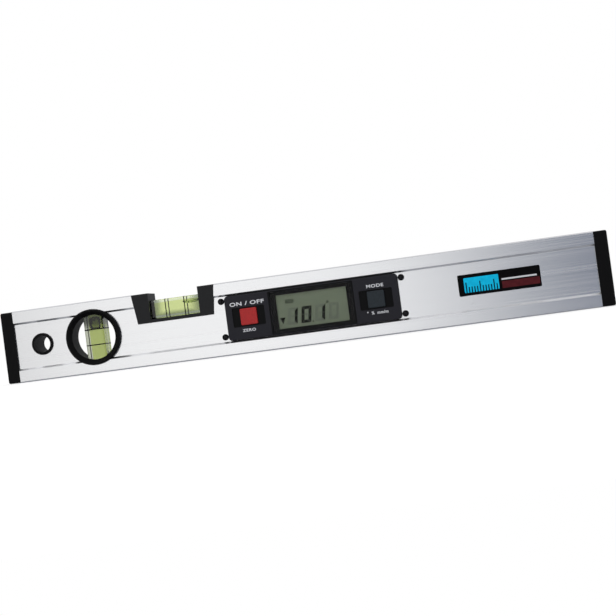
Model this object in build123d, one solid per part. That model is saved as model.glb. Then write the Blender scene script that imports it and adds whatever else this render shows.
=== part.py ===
from build123d import *
import os

# Digital spirit level: X runs along it, -Y is its front and +Z is up.
# The origin is the middle of the measuring base. All sizes are millimetres.

# Clearances
FIT_GAP = 0.1
SLIDE_GAP = 0.15
KEY_GAP = 0.25
BUBBLE_GAP = 0.3

# Aluminium box profile: smooth rails at the top and bottom, a recessed web between them
LEVEL_LENGTH = 500.0
RAIL_HEIGHT = 10.0
RAIL_SLOPE = 1.5
WEB_HEIGHT = 37.0
PROFILE_DEPTH = 24.0
WEB_RECESS = 1.5
WEB_WALL = 1.6
BASE_WALL = 2.4
EDGE_CHAMFER = 1.0
CAVITY_ROUND = 1.0

# End caps
CAP_LENGTH = 10.5
CAP_PLUG = 12.0
CAP_WALL = 2.0
CAP_END_WALL = 2.5
CAP_LIFT = 0.3
CAP_PROUD = 0.3
CAP_ROUND = 1.5

# Hanging-hole bush
HANG_BORE = 14.0
SLEEVE_WALL = 1.2
BUSH_FLANGE = 0.9
BUSH_PROUD = 0.2
BUSH_ROUND = 0.6
PLUG_TO_BUSH = 2.7

# Vials
VIAL_ROUND = 1.2
CAVITY_RADIUS = 5.6
CAVITY_TAPER = 0.25
BUBBLE_RADIUS = 2.6
BUBBLE_END_GAP = 1.5
LINE_WIDTH = 0.8
LINE_HEIGHT = 0.12
LINE_GAP = 0.6

# Plumb vial and its ring
PLUMB_VIAL_WIDTH = 16.4
PLUMB_WINDOW = 37.0
PLUMB_SEAT = 1.25
PLUMB_BUBBLE_LENGTH = 11.0
BARREL_WALL = 2.15
RING_FLANGE = 1.2
RING_PROUD = 2.0
RING_BEVEL = 3.0
REAR_FLARE = 9.0
RING_ROUND = 0.8
SKIRT_WALL = 1.0
PIN_DIAMETER = 2.4
PIN_LENGTH = 3.0
PIN_COUNT = 4
PIN_ANGLE = 45.0
BUSH_TO_RING = 12.2

# Level vial and its holder in the top edge
LEVEL_VIAL_WIDTH = 15.4
LEVEL_VIEW = 42.0
LEVEL_SEAT = 5.0
LEVEL_BUBBLE_LENGTH = 14.0
VIAL_SINK = 6.4
HOLDER_BLOCK = 14.0
HOLDER_TAPER = 3.0
HOLDER_FLOOR = 2.6
HOLDER_SINK = 0.2
RETAINER_LENGTH = 5.0
RING_TO_HOLDER = 12.9

# Display bezel, window and panel
BEZEL_LENGTH = 142.0
BEZEL_GAP = 0.3
BEZEL_PROUD = 0.7
BEZEL_ROUND = 3.0
BEZEL_BEVEL = 0.6
END_LAND = 4.0
SIDE_LAND = 1.2
TUB_WALL = 1.2
GASKET_THICKNESS = 0.4
LENS_LENGTH = 67.0
LENS_MARGIN = 1.7
LENS_THICKNESS = 1.5
LENS_SINK = 0.1
LENS_ROUND = 1.5
LEDGE_THICKNESS = 1.0
LEDGE_WIDTH = 2.2
LCD_THICKNESS = 2.4
LCD_OVERLAP = 1.6
LCD_CONTACT_EDGE = 2.4
ZEBRA_WIDTH = 1.8
SNAP_LENGTH = 8.0
SNAP_DEPTH = 1.2
SNAP_HEIGHT = 0.5

# Main board and what it carries
BOARD_THICKNESS = 1.6
BOARD_MARGIN = 0.5
BOARD_ROOM = 1.2
POST_DIAMETER = 4.4
POST_MARGIN = 0.5
BOARD_SCREW_DIAMETER = 1.9
BOARD_SCREW_HEAD = 3.8
BOARD_SCREW_HEAD_HEIGHT = 1.1
BOARD_SCREW_LENGTH = 4.6
SENSOR_SIZE = 12.0
SENSOR_HEIGHT = 6.0
SENSOR_ROUND = 1.5
CHIP_SIZE = 10.0
CHIP_HEIGHT = 1.4
CAPACITOR_DIAMETER = 5.0
CAPACITOR_HEIGHT = 5.5
PART_SPACING = 3.0

# Keys and their switches
KEY_LENGTH = 13.8
POWER_KEY_HEIGHT = 13.4
MODE_KEY_HEIGHT = 13.4
KEY_PROUD = 0.9
KEY_ROUND = 1.0
KEY_WALL = 1.4
KEY_TOP = 1.6
KEY_FLANGE = 1.4
KEY_FLANGE_THICKNESS = 0.8
KEY_TRAVEL = 0.8
POCKET_DEPTH = 1.0
POCKET_MARGIN = 5.3
POCKET_SIDE = 1.2
STEM_DIAMETER = 4.5
STEM_LENGTH = 0.6
SWITCH_SIZE = 6.2
PLUNGER_DIAMETER = 3.2
PLUNGER_GRIP = 0.6

# Module housing behind the web and its four screws
HOUSING_WALL = 1.6
HOUSING_GAP = 0.2
EAR_THICKNESS = 4.0
EAR_MARGIN = 3.4
SCREW_HEAD = 5.2
SCREW_HEAD_HEIGHT = 1.3
SCREW_SHANK = 2.9
SCREW_LENGTH = 5.2
SCREW_SIDE_GAP = 0.4
SCREW_EDGE_GAP = 1.3
SLOT_WIDTH = 0.8
SLOT_DEPTH = 0.6
HOLDER_TO_EAR = 0.8

# Battery bay, cells, contacts, frame and sliding door
CELL_LENGTH = 44.5
CELL_DIAMETER = 10.5
CELL_GAP = 0.4
NUB_DIAMETER = 3.8
NUB_LENGTH = 0.8
BAY_WALL = 1.0
SPRING_ROOM = 3.6
CONTACT_THICKNESS = 0.4
CONTACT_WIDTH = 7.0
TAB_WIDTH = 2.5
DOOR_SIDE_LAP = 1.2
DOOR_END_LAP = 2.0
TONGUE = 1.0
TONGUE_THICKNESS = 0.55
FRAME_BAND = 8.0
FRAME_SCREW_HEAD = 3.4
FRAME_SCREW_HEAD_HEIGHT = 0.9
FRAME_SCREW_SHANK = 1.9
FRAME_SCREW_LENGTH = 6.0
FRAME_BOSS = 5.0
FRAME_SCREW_INSET = 4.0
GRIP_COUNT = 5
GRIP_PITCH = 2.2
GRIP_WIDTH = 1.0
GRIP_DEPTH = 0.4

# Plain label on the web
LABEL_LENGTH = 65.0
LABEL_HEIGHT = 17.0
LABEL_THICKNESS = 0.3
LABEL_LIFT = 1.2
LABEL_SHIFT = -1.2
LABEL_ROUND = 1.0

# Faces of the profile, as distances from its middle plane
PROFILE_HEIGHT = WEB_HEIGHT + 2 * (RAIL_HEIGHT + RAIL_SLOPE)
MID_HEIGHT = PROFILE_HEIGHT / 2
RAIL_FACE = PROFILE_DEPTH / 2
WEB_FACE = RAIL_FACE - WEB_RECESS
CAVITY_FACE = WEB_FACE - WEB_WALL
THROUGH = (-PROFILE_DEPTH, PROFILE_DEPTH)

# Radii of the bush and of the plumb ring
SLEEVE_RADIUS = HANG_BORE / 2 + SLEEVE_WALL
BUSH_RADIUS = SLEEVE_RADIUS + BUSH_FLANGE
PLUMB_VIAL_LENGTH = PLUMB_WINDOW + 2 * PLUMB_SEAT
BARREL_RADIUS = PLUMB_VIAL_LENGTH / 2 + FIT_GAP + BARREL_WALL
RING_RADIUS = BARREL_RADIUS + RING_FLANGE

# Level-vial holder
LEVEL_VIAL_LENGTH = LEVEL_VIEW + 2 * LEVEL_SEAT
LEVEL_VIAL_HEIGHT = PROFILE_HEIGHT - VIAL_SINK - LEVEL_VIAL_WIDTH / 2
HOLDER_FLOOR_TOP = LEVEL_VIAL_HEIGHT - LEVEL_VIAL_WIDTH / 2 - LINE_HEIGHT - FIT_GAP
HOLDER_BOTTOM = HOLDER_FLOOR_TOP - HOLDER_FLOOR
HOLDER_TOP_HALF = LEVEL_VIEW / 2 + HOLDER_BLOCK

# Module plan, about its own centre
BEZEL_HEIGHT = WEB_HEIGHT - 2 * BEZEL_GAP
TUB_LENGTH = BEZEL_LENGTH - 2 * END_LAND
TUB_HEIGHT = BEZEL_HEIGHT - 2 * SIDE_LAND
INNER_LENGTH = TUB_LENGTH - 2 * TUB_WALL
INNER_HEIGHT = TUB_HEIGHT - 2 * TUB_WALL
LENS_HEIGHT = BEZEL_HEIGHT - 2 * LENS_MARGIN
APERTURE_LENGTH = LENS_LENGTH - 2 * LEDGE_WIDTH
APERTURE_HEIGHT = LENS_HEIGHT - 2 * LEDGE_WIDTH
LCD_LENGTH = APERTURE_LENGTH + 2 * LCD_OVERLAP
LCD_HEIGHT = INNER_HEIGHT - 2 * FIT_GAP
ZEBRA_PLACE = LCD_HEIGHT / 2 - LCD_CONTACT_EDGE / 2
KEY_PLACE = (LENS_LENGTH + BEZEL_LENGTH) / 4
POCKET_LENGTH = (BEZEL_LENGTH - LENS_LENGTH) / 2 - 2 * POCKET_MARGIN
POST_X = (LCD_LENGTH / 2 + KEY_PLACE - KEY_LENGTH / 2 - KEY_FLANGE) / 2
POST_Z = INNER_HEIGHT / 2 - POST_DIAMETER / 2 - POST_MARGIN
HOUSING_LENGTH = TUB_LENGTH + 2 * (HOUSING_GAP + HOUSING_WALL)
HOUSING_HEIGHT = TUB_HEIGHT + 2 * (HOUSING_GAP + HOUSING_WALL)
SCREW_X = BEZEL_LENGTH / 2 + SCREW_SIDE_GAP + SCREW_HEAD / 2
SCREW_Z = WEB_HEIGHT / 2 - SCREW_EDGE_GAP - SCREW_HEAD / 2
EAR_REACH = SCREW_X + EAR_MARGIN
BAY_HALF_LENGTH = (CELL_LENGTH + SPRING_ROOM) / 2 + CONTACT_THICKNESS
BAY_HALF_HEIGHT = CELL_DIAMETER + 1.5 * CELL_GAP
CELL_Z = (CELL_DIAMETER + CELL_GAP) / 2
CONTACT_X = (BAY_HALF_LENGTH - CONTACT_THICKNESS, BAY_HALF_LENGTH)
DOOR_HALF_LENGTH = BAY_HALF_LENGTH + BAY_WALL + DOOR_END_LAP
DOOR_HALF_HEIGHT = BAY_HALF_HEIGHT + BAY_WALL + DOOR_SIDE_LAP
GROOVE_HALF_HEIGHT = DOOR_HALF_HEIGHT + TONGUE + SLIDE_GAP
FRAME_HALF_HEIGHT = BEZEL_HEIGHT / 2
FRAME_LEFT = -DOOR_HALF_LENGTH - SLIDE_GAP - FRAME_BAND
FRAME_SCREW_Z = (GROOVE_HALF_HEIGHT + FRAME_HALF_HEIGHT) / 2
FRAME_SCREW_XS = (FRAME_LEFT + FRAME_SCREW_INSET, DOOR_HALF_LENGTH - FRAME_SCREW_INSET)

# Module depths along Y: from the bezel's face back to the key stems
BEZEL_FRONT = -RAIL_FACE - BEZEL_PROUD
GASKET_FRONT = -WEB_FACE - GASKET_THICKNESS
LENS_FRONT = BEZEL_FRONT + LENS_SINK
LENS_REAR = LENS_FRONT + LENS_THICKNESS
WALL_REAR = LENS_REAR + LEDGE_THICKNESS
LCD_REAR = WALL_REAR + LCD_THICKNESS
FLANGE_FRONT = WALL_REAR + FIT_GAP
FLANGE_REAR = FLANGE_FRONT + KEY_FLANGE_THICKNESS
PLUNGER_FRONT = FLANGE_REAR + STEM_LENGTH
SWITCH_FRONT = PLUNGER_FRONT + KEY_TRAVEL + FIT_GAP
PLUNGER_REAR = SWITCH_FRONT + PLUNGER_GRIP

# Module depths along Y: from the battery door forward to the board
DOOR_FRONT = WEB_FACE + SLIDE_GAP
DOOR_REAR = RAIL_FACE - FIT_GAP
CELL_Y = DOOR_FRONT - CELL_GAP - CELL_DIAMETER / 2
BAY_FLOOR_REAR = CELL_Y - CELL_DIAMETER / 2 - CELL_GAP
BAY_FLOOR_FRONT = BAY_FLOOR_REAR - BAY_WALL
BOARD_REAR = BAY_FLOOR_FRONT - BOARD_ROOM
BOARD_FRONT = BOARD_REAR - BOARD_THICKNESS

# Places along the level, chained from its left end
BODY_END = LEVEL_LENGTH / 2 - CAP_LENGTH
HANG_X = -BODY_END + CAP_PLUG + PLUG_TO_BUSH + SLEEVE_RADIUS
PLUMB_X = HANG_X + BUSH_RADIUS + BUSH_TO_RING + RING_RADIUS
HOLDER_X = PLUMB_X + RING_RADIUS + RING_TO_HOLDER + HOLDER_TOP_HALF
MODULE_X = HOLDER_X + HOLDER_TOP_HALF + HOLDER_TO_EAR + EAR_REACH
LABEL_X = (MODULE_X + SCREW_X + SCREW_HEAD / 2 + BODY_END) / 2 + LABEL_SHIFT
MODULE = Pos(MODULE_X, 0, MID_HEIGHT)
KEYS = ((-1, POWER_KEY_HEIGHT), (1, MODE_KEY_HEIGHT))
SCREW_CORNERS = [(x, z) for x in (-SCREW_X, SCREW_X) for z in (-SCREW_Z, SCREW_Z)]
POST_CORNERS = [(x, z) for x in (-POST_X, POST_X) for z in (-POST_Z, POST_Z)]
FRAME_CORNERS = [(x, z) for x in FRAME_SCREW_XS for z in (-FRAME_SCREW_Z, FRAME_SCREW_Z)]


def about(half):
    """Limits of a size that is centred on zero."""
    return (-half, half)


def near(middle, half):
    """Limits of a size that is centred on a given place."""
    return (middle - half, middle + half)


def block(x, y, z):
    """Box between two limits along each axis."""
    sizes = [high - low for low, high in (x, y, z)]
    middle = [(low + high) / 2 for low, high in (x, y, z)]
    return Pos(*middle) * Box(*sizes)


def plate(x, y, z, radius):
    """Box whose four edges along Y are rounded."""
    return fillet(block(x, y, z).edges().filter_by(Axis.Y), radius)


def rod_x(y, z, radius, x):
    """Cylinder along X."""
    return Pos(sum(x) / 2, y, z) * Rot(0, 90, 0) * Cylinder(radius, x[1] - x[0])


def rod_y(x, z, radius, y):
    """Cylinder along Y."""
    return Pos(x, sum(y) / 2, z) * Rot(90, 0, 0) * Cylinder(radius, y[1] - y[0])


def bar(x, width):
    """Square bar along X whose long edges are rounded."""
    half = about(width / 2)
    return fillet(block(x, half, half).edges().filter_by(Axis.X), VIAL_ROUND)


def turned(points, axis):
    """Solid that an outline in the XY plane sweeps about an axis."""
    return revolve(make_face(Polyline(*points, close=True).edges()), axis)


def group(solids):
    """Separate solids that share one node."""
    return Compound(list(solids))


def to_rear(solid):
    """Mirror a front piece to the rear."""
    return mirror(solid, about=Plane.XZ)


def cavity(x, gap):
    """Inside of the box profile between two limits along X, smaller by a gap all round."""
    hollow = block(x, about(CAVITY_FACE - gap), (BASE_WALL + gap, PROFILE_HEIGHT - BASE_WALL - gap))
    return fillet(hollow.edges().filter_by(Axis.X), CAVITY_ROUND)


def holder_outline(gap, top):
    """Outline of the level-vial holder in XZ, wider at the top edge, grown by a gap."""
    slope = HOLDER_TAPER / (PROFILE_HEIGHT - HOLDER_BOTTOM)
    low = HOLDER_BOTTOM - gap
    low_half = HOLDER_TOP_HALF + gap - slope * (PROFILE_HEIGHT - low)
    top_half = HOLDER_TOP_HALF + gap - slope * (PROFILE_HEIGHT - top)
    return [
        (HOLDER_X - low_half, low),
        (HOLDER_X + low_half, low),
        (HOLDER_X + top_half, top),
        (HOLDER_X - top_half, top),
    ]


def holder_prism(gap, top, depth):
    """Holder outline drawn out along Y to the same depth on both sides."""
    face = make_face(Polyline(*holder_outline(gap, top), close=True).edges())
    return extrude(Plane.XZ * face, amount=depth, both=True)


def profile_body():
    """Extruded box profile with the cuts for everything that it carries."""
    side = [
        (RAIL_FACE - EDGE_CHAMFER, 0),
        (RAIL_FACE, EDGE_CHAMFER),
        (RAIL_FACE, RAIL_HEIGHT),
        (WEB_FACE, RAIL_HEIGHT + RAIL_SLOPE),
        (WEB_FACE, PROFILE_HEIGHT - RAIL_HEIGHT - RAIL_SLOPE),
        (RAIL_FACE, PROFILE_HEIGHT - RAIL_HEIGHT),
        (RAIL_FACE, PROFILE_HEIGHT - EDGE_CHAMFER),
        (RAIL_FACE - EDGE_CHAMFER, PROFILE_HEIGHT),
    ]
    outline = side + [(-y, z) for y, z in reversed(side)]
    section = make_face(Polyline(*outline, close=True).edges())
    body = extrude(Plane.YZ * section, amount=BODY_END, both=True)
    body -= cavity(about(BODY_END), 0)
    body -= rod_y(HANG_X, MID_HEIGHT, SLEEVE_RADIUS + FIT_GAP, THROUGH)
    body -= rod_y(PLUMB_X, MID_HEIGHT, BARREL_RADIUS + FIT_GAP, THROUGH)
    body -= holder_prism(FIT_GAP, PROFILE_HEIGHT + HOLDER_FLOOR, PROFILE_DEPTH)
    tub_x = about(TUB_LENGTH / 2 + FIT_GAP)
    tub_z = about(TUB_HEIGHT / 2 + FIT_GAP)
    body -= MODULE * block(tub_x, (-PROFILE_DEPTH, 0), tub_z)
    bay_x = about(BAY_HALF_LENGTH + BAY_WALL + FIT_GAP)
    bay_z = about(BAY_HALF_HEIGHT + BAY_WALL + FIT_GAP)
    body -= MODULE * block(bay_x, (0, PROFILE_DEPTH), bay_z)
    for x, z in SCREW_CORNERS:
        body -= MODULE * rod_y(x, z, SCREW_SHANK / 2 + FIT_GAP, (-PROFILE_DEPTH, 0))
    for x, z in FRAME_CORNERS:
        body -= MODULE * rod_y(x, z, FRAME_SCREW_SHANK / 2 + FIT_GAP, (0, PROFILE_DEPTH))
    return body


def end_cap():
    """Right end cap: a hollow head and a collar that pushes into the profile."""
    outer = LEVEL_LENGTH / 2
    head = block((BODY_END, outer), about(RAIL_FACE + CAP_PROUD), (CAP_LIFT, PROFILE_HEIGHT - CAP_LIFT))
    head = fillet(head.edges().filter_by(Axis.X), CAP_ROUND)
    head = fillet(head.faces().sort_by(Axis.X)[-1].edges(), CAP_ROUND)
    collar = cavity((BODY_END - CAP_PLUG, BODY_END), FIT_GAP)
    hollow_y = about(CAVITY_FACE - FIT_GAP - CAP_WALL)
    hollow_z = (BASE_WALL + FIT_GAP + CAP_WALL, PROFILE_HEIGHT - BASE_WALL - FIT_GAP - CAP_WALL)
    return head + collar - block((BODY_END - CAP_PLUG, outer - CAP_END_WALL), hollow_y, hollow_z)


def hang_bush():
    """Front half of the flanged bush round the hanging hole."""
    front = -RAIL_FACE - BUSH_PROUD
    flange = rod_y(HANG_X, MID_HEIGHT, BUSH_RADIUS, (front, -WEB_FACE))
    flange = fillet(flange.faces().sort_by(Axis.Y)[0].edges(), BUSH_ROUND)
    sleeve = rod_y(HANG_X, MID_HEIGHT, SLEEVE_RADIUS, (-WEB_FACE, 0))
    return flange + sleeve - rod_y(HANG_X, MID_HEIGHT, HANG_BORE / 2, THROUGH)


def plumb_ring_half(bevel_depth):
    """Front half of the plumb-vial ring, about its own centre; the window's bevel has a given depth."""
    window = PLUMB_WINDOW / 2
    front = -RAIL_FACE - RING_PROUD
    outline = [
        (window, 0),
        (window, front + bevel_depth),
        (window + RING_BEVEL, front),
        (RING_RADIUS - RING_ROUND, front),
        (RING_RADIUS, front + RING_ROUND),
        (RING_RADIUS, -RAIL_FACE),
        (BARREL_RADIUS, -RAIL_FACE),
        (BARREL_RADIUS, 0),
    ]
    ring = turned(outline, Axis.Y)
    skirt = rod_y(0, 0, RING_RADIUS, (-RAIL_FACE, -WEB_FACE))
    skirt -= rod_y(0, 0, RING_RADIUS - SKIRT_WALL, (-RAIL_FACE, -WEB_FACE))
    skirt &= block(about(RING_RADIUS), THROUGH, about(WEB_HEIGHT / 2 - FIT_GAP))
    seat = bar(about(PLUMB_VIAL_LENGTH / 2 + FIT_GAP), PLUMB_VIAL_WIDTH + 2 * FIT_GAP)
    return ring + skirt - Rot(0, -90, 0) * seat


def ring_pins(radius, length):
    """Locating pins across the joint between the ring halves."""
    place = (PLUMB_WINDOW / 2 + BARREL_RADIUS) / 2
    centres = PolarLocations(place, PIN_COUNT, start_angle=PIN_ANGLE)
    return [Rot(90, 0, 0) * centre * Cylinder(radius, 2 * length) for centre in centres]


def plumb_ring(rear):
    """Front half with its pins, or the rear half with the holes for them."""
    half = plumb_ring_half(REAR_FLARE if rear else RING_BEVEL)
    place = Pos(PLUMB_X, 0, MID_HEIGHT)
    if rear:
        half = to_rear(half)
        for pin in ring_pins(PIN_DIAMETER / 2 + FIT_GAP, PIN_LENGTH + FIT_GAP):
            half -= pin
        return place * half
    for pin in ring_pins(PIN_DIAMETER / 2, PIN_LENGTH):
        half += pin
    return place * half


def barrel(x, middle_radius, end_radius):
    """Solid about the X axis that swells a little in the middle."""
    low, high = x
    crown = ThreePointArc((low, end_radius), ((low + high) / 2, middle_radius), (high, end_radius))
    sides = Polyline((high, end_radius), (high, 0), (low, 0), (low, end_radius))
    return revolve(make_face(crown.edges() + sides.edges()), Axis.X)


def capsule(x, z, radius):
    """Round-ended rod along X."""
    low, high = x
    diagonal = radius * 0.5 ** 0.5
    left = ThreePointArc((low, 0), (low + radius - diagonal, diagonal), (low + radius, radius))
    right = ThreePointArc((high - radius, radius), (high - radius + diagonal, diagonal), (high, 0))
    crown = Line((low + radius, radius), (high - radius, radius))
    axis = Line((high, 0), (low, 0))
    outline = make_face(left.edges() + crown.edges() + right.edges() + axis.edges())
    return Pos(0, 0, z) * revolve(outline, Axis.X)


def vial(length, width, end_wall, bubble_length, bubble_rise):
    """Pieces of one vial along X: body, liquid, bubble, plug and marker lines.

    The bubble rests at the +X end, and the liquid is open along the bubble's way.
    """
    half = length / 2
    inside = about(half - end_wall)
    end_radius = CAVITY_RADIUS - CAVITY_TAPER
    mouth = (inside[1], half)
    body = bar(about(half), width)
    body -= barrel(inside, CAVITY_RADIUS, end_radius)
    body -= rod_x(0, 0, end_radius, mouth)
    wet = about(inside[1] - FIT_GAP)
    way = about(inside[1] - BUBBLE_END_GAP + BUBBLE_GAP)
    liquid = barrel(wet, CAVITY_RADIUS - FIT_GAP, end_radius - FIT_GAP)
    liquid -= capsule(way, bubble_rise, BUBBLE_RADIUS + BUBBLE_GAP)
    trough = (way[0] + BUBBLE_RADIUS, way[1] - BUBBLE_RADIUS)
    liquid -= block(trough, about(BUBBLE_RADIUS + BUBBLE_GAP), (bubble_rise, width))
    bubble_end = inside[1] - BUBBLE_END_GAP
    band = bar(about(LINE_WIDTH / 2), width + 2 * LINE_HEIGHT) - bar(about(LINE_WIDTH), width)
    line_place = (bubble_length + LINE_WIDTH) / 2 + LINE_GAP
    return {
        "body": body,
        "liquid": liquid,
        "bubble": capsule((bubble_end - bubble_length, bubble_end), bubble_rise, BUBBLE_RADIUS),
        "plug": rod_x(0, 0, end_radius - FIT_GAP, mouth),
        "lines": group(Pos(x, 0, 0) * band for x in about(line_place)),
    }


def level_vial_holder():
    """Block in the top edge with the window for the level vial and its seats."""
    holder = holder_prism(0, PROFILE_HEIGHT - HOLDER_SINK, RAIL_FACE - HOLDER_SINK)
    holder -= block(near(HOLDER_X, LEVEL_VIEW / 2), THROUGH, (HOLDER_FLOOR_TOP, PROFILE_HEIGHT))
    seat_x = (HOLDER_X - HOLDER_TOP_HALF, HOLDER_X + LEVEL_VIAL_LENGTH / 2 + FIT_GAP)
    return holder - Pos(0, 0, LEVEL_VIAL_HEIGHT) * bar(seat_x, LEVEL_VIAL_WIDTH + 2 * FIT_GAP)


def level_vial_retainer():
    """Block that closes the left seat behind the level vial."""
    right = HOLDER_X - LEVEL_VIAL_LENGTH / 2 - FIT_GAP
    return Pos(0, 0, LEVEL_VIAL_HEIGHT) * bar((right - RETAINER_LENGTH, right), LEVEL_VIAL_WIDTH)


def screw(head, head_height, shank, length, x, z, y, inward):
    """Slotted pan-head screw along Y; its head sits on y and its shank points inward."""
    top = y - inward * head_height
    tip = y + inward * length
    body = rod_y(x, z, head / 2, sorted((top, y)))
    body += rod_y(x, z, shank / 2, sorted((y, tip)))
    slot_y = sorted((top, top + inward * SLOT_DEPTH))
    return body - block((x - head, x + head), slot_y, near(z, SLOT_WIDTH / 2))


def module_gasket():
    """Thin rubber frame between the bezel and the web."""
    bezel_x = about(BEZEL_LENGTH / 2 - BEZEL_BEVEL)
    bezel_z = about(BEZEL_HEIGHT / 2 - FIT_GAP)
    sheet = plate(bezel_x, (GASKET_FRONT, -WEB_FACE), bezel_z, BEZEL_ROUND)
    return sheet - block(about(TUB_LENGTH / 2 + FIT_GAP), THROUGH, about(TUB_HEIGHT / 2 + FIT_GAP))


def module_bezel():
    """Front plate with the display opening, key pockets, a tub behind it and board posts."""
    face_y = (BEZEL_FRONT, GASKET_FRONT)
    bezel = plate(about(BEZEL_LENGTH / 2), face_y, about(BEZEL_HEIGHT / 2), BEZEL_ROUND)
    bezel = chamfer(bezel.faces().sort_by(Axis.Y)[0].edges(), BEZEL_BEVEL)
    bezel += block(about(TUB_LENGTH / 2), (GASKET_FRONT, BOARD_REAR), about(TUB_HEIGHT / 2))
    bezel -= block(about(INNER_LENGTH / 2), (WALL_REAR, BOARD_REAR), about(INNER_HEIGHT / 2))
    seat_x = about(LENS_LENGTH / 2 + FIT_GAP)
    seat_z = about(LENS_HEIGHT / 2 + FIT_GAP)
    bezel -= plate(seat_x, (2 * BEZEL_FRONT, LENS_REAR), seat_z, LENS_ROUND)
    bezel -= block(about(APERTURE_LENGTH / 2), (BEZEL_FRONT, WALL_REAR), about(APERTURE_HEIGHT / 2))
    for side, key_height in KEYS:
        place = Pos(side * KEY_PLACE, 0, 0)
        pocket_z = about(key_height / 2 + POCKET_SIDE)
        pocket_y = (2 * BEZEL_FRONT, BEZEL_FRONT + POCKET_DEPTH)
        bezel -= place * plate(about(POCKET_LENGTH / 2), pocket_y, pocket_z, KEY_ROUND)
        hole_x = about(KEY_LENGTH / 2 + KEY_GAP)
        hole_z = about(key_height / 2 + KEY_GAP)
        bezel -= place * plate(hole_x, (BEZEL_FRONT, WALL_REAR), hole_z, KEY_ROUND)
        for edge in (-1, 1):
            snap_z = sorted((edge * (TUB_HEIGHT / 2 - SNAP_HEIGHT), edge * (TUB_HEIGHT / 2 + SNAP_HEIGHT)))
            snap_y = (BOARD_FRONT - SNAP_DEPTH, BOARD_FRONT)
            bezel += place * block(about(SNAP_LENGTH / 2), snap_y, snap_z)
    for x, z in POST_CORNERS:
        bezel += rod_y(x, z, POST_DIAMETER / 2, (WALL_REAR, BOARD_FRONT))
        tip = BOARD_REAR - BOARD_SCREW_LENGTH - FIT_GAP
        bezel -= rod_y(x, z, BOARD_SCREW_DIAMETER / 2 + FIT_GAP / 2, (tip, BOARD_FRONT))
    return bezel


def display_window():
    """Clear window in the bezel's seat."""
    return plate(about(LENS_LENGTH / 2), (LENS_FRONT, LENS_REAR), about(LENS_HEIGHT / 2), LENS_ROUND)


def lcd_glass():
    """LCD panel: the front glass stands past the rear glass along its contact edges."""
    middle = (WALL_REAR + LCD_REAR) / 2
    full_x = about(LCD_LENGTH / 2)
    front = block(full_x, (WALL_REAR, middle), about(LCD_HEIGHT / 2))
    return front + block(full_x, (middle, LCD_REAR), about(LCD_HEIGHT / 2 - LCD_CONTACT_EDGE))


def lcd_spacer():
    """Frame that carries the LCD on the board."""
    spacer = block(about(LCD_LENGTH / 2), (LCD_REAR, BOARD_FRONT), about(LCD_HEIGHT / 2 - LCD_CONTACT_EDGE))
    inner_z = about(LCD_HEIGHT / 2 - 2 * LCD_CONTACT_EDGE)
    return spacer - block(about(LCD_LENGTH / 2 - LCD_CONTACT_EDGE), THROUGH, inner_z)


def zebra_strips():
    """Two soft contact strips between the LCD's edges and the board."""
    contact = (WALL_REAR + LCD_REAR) / 2
    strip = block(about(APERTURE_LENGTH / 2), (contact, BOARD_FRONT), about(ZEBRA_WIDTH / 2))
    return group(Pos(0, 0, z) * strip for z in about(ZEBRA_PLACE))


def main_board():
    """Circuit board with holes for its screws; the battery tabs end on its rear."""
    board_x = about(INNER_LENGTH / 2 - BOARD_MARGIN)
    board = block(board_x, (BOARD_FRONT, BOARD_REAR), about(INNER_HEIGHT / 2 - BOARD_MARGIN))
    for x, z in POST_CORNERS:
        board -= rod_y(x, z, BOARD_SCREW_DIAMETER / 2 + FIT_GAP, THROUGH)
    return board


def board_screws():
    """Four screws that hold the board on the bezel's posts."""
    sizes = (BOARD_SCREW_HEAD, BOARD_SCREW_HEAD_HEIGHT, BOARD_SCREW_DIAMETER, BOARD_SCREW_LENGTH)
    return group(screw(*sizes, x, z, BOARD_REAR, -1) for x, z in POST_CORNERS)


def tilt_sensor():
    """Metal can with the tilt sensor, on the rear of the board left of the battery bay."""
    right = -BAY_HALF_LENGTH - BAY_WALL - PART_SPACING
    can_y = (BOARD_REAR, BOARD_REAR + SENSOR_HEIGHT)
    can = block((right - SENSOR_SIZE, right), can_y, about(SENSOR_SIZE / 2))
    return fillet(can.edges().filter_by(Axis.Y), SENSOR_ROUND)


def controller_chip():
    """Controller on the rear of the board, right of the battery bay."""
    left = BAY_HALF_LENGTH + BAY_WALL + PART_SPACING
    return block((left, left + CHIP_SIZE), (BOARD_REAR, BOARD_REAR + CHIP_HEIGHT), about(CHIP_SIZE / 2))


def board_capacitors():
    """Two capacitors beside the controller."""
    x = BAY_HALF_LENGTH + BAY_WALL + 2 * PART_SPACING + CHIP_SIZE + CAPACITOR_DIAMETER / 2
    depth = (BOARD_REAR, BOARD_REAR + CAPACITOR_HEIGHT)
    return group(rod_y(x, z, CAPACITOR_DIAMETER / 2, depth) for z in about(CAPACITOR_DIAMETER))


def key(side, height):
    """Hollow key cap with a flange behind the bezel's wall and a stem on the switch."""
    front = BEZEL_FRONT - KEY_PROUD
    cap = plate(about(KEY_LENGTH / 2), (front, FLANGE_REAR), about(height / 2), KEY_ROUND)
    cap = fillet(cap.faces().sort_by(Axis.Y)[0].edges(), KEY_ROUND / 2)
    flange_x = about(KEY_LENGTH / 2 + KEY_FLANGE)
    cap += block(flange_x, (FLANGE_FRONT, FLANGE_REAR), about(height / 2 + KEY_FLANGE))
    hollow_x = about(KEY_LENGTH / 2 - KEY_WALL)
    cap -= block(hollow_x, (front + KEY_TOP, FLANGE_REAR), about(height / 2 - KEY_WALL))
    cap += rod_y(0, 0, STEM_DIAMETER / 2, (front + KEY_TOP, PLUNGER_FRONT))
    return Pos(side * KEY_PLACE, 0, 0) * cap


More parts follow.
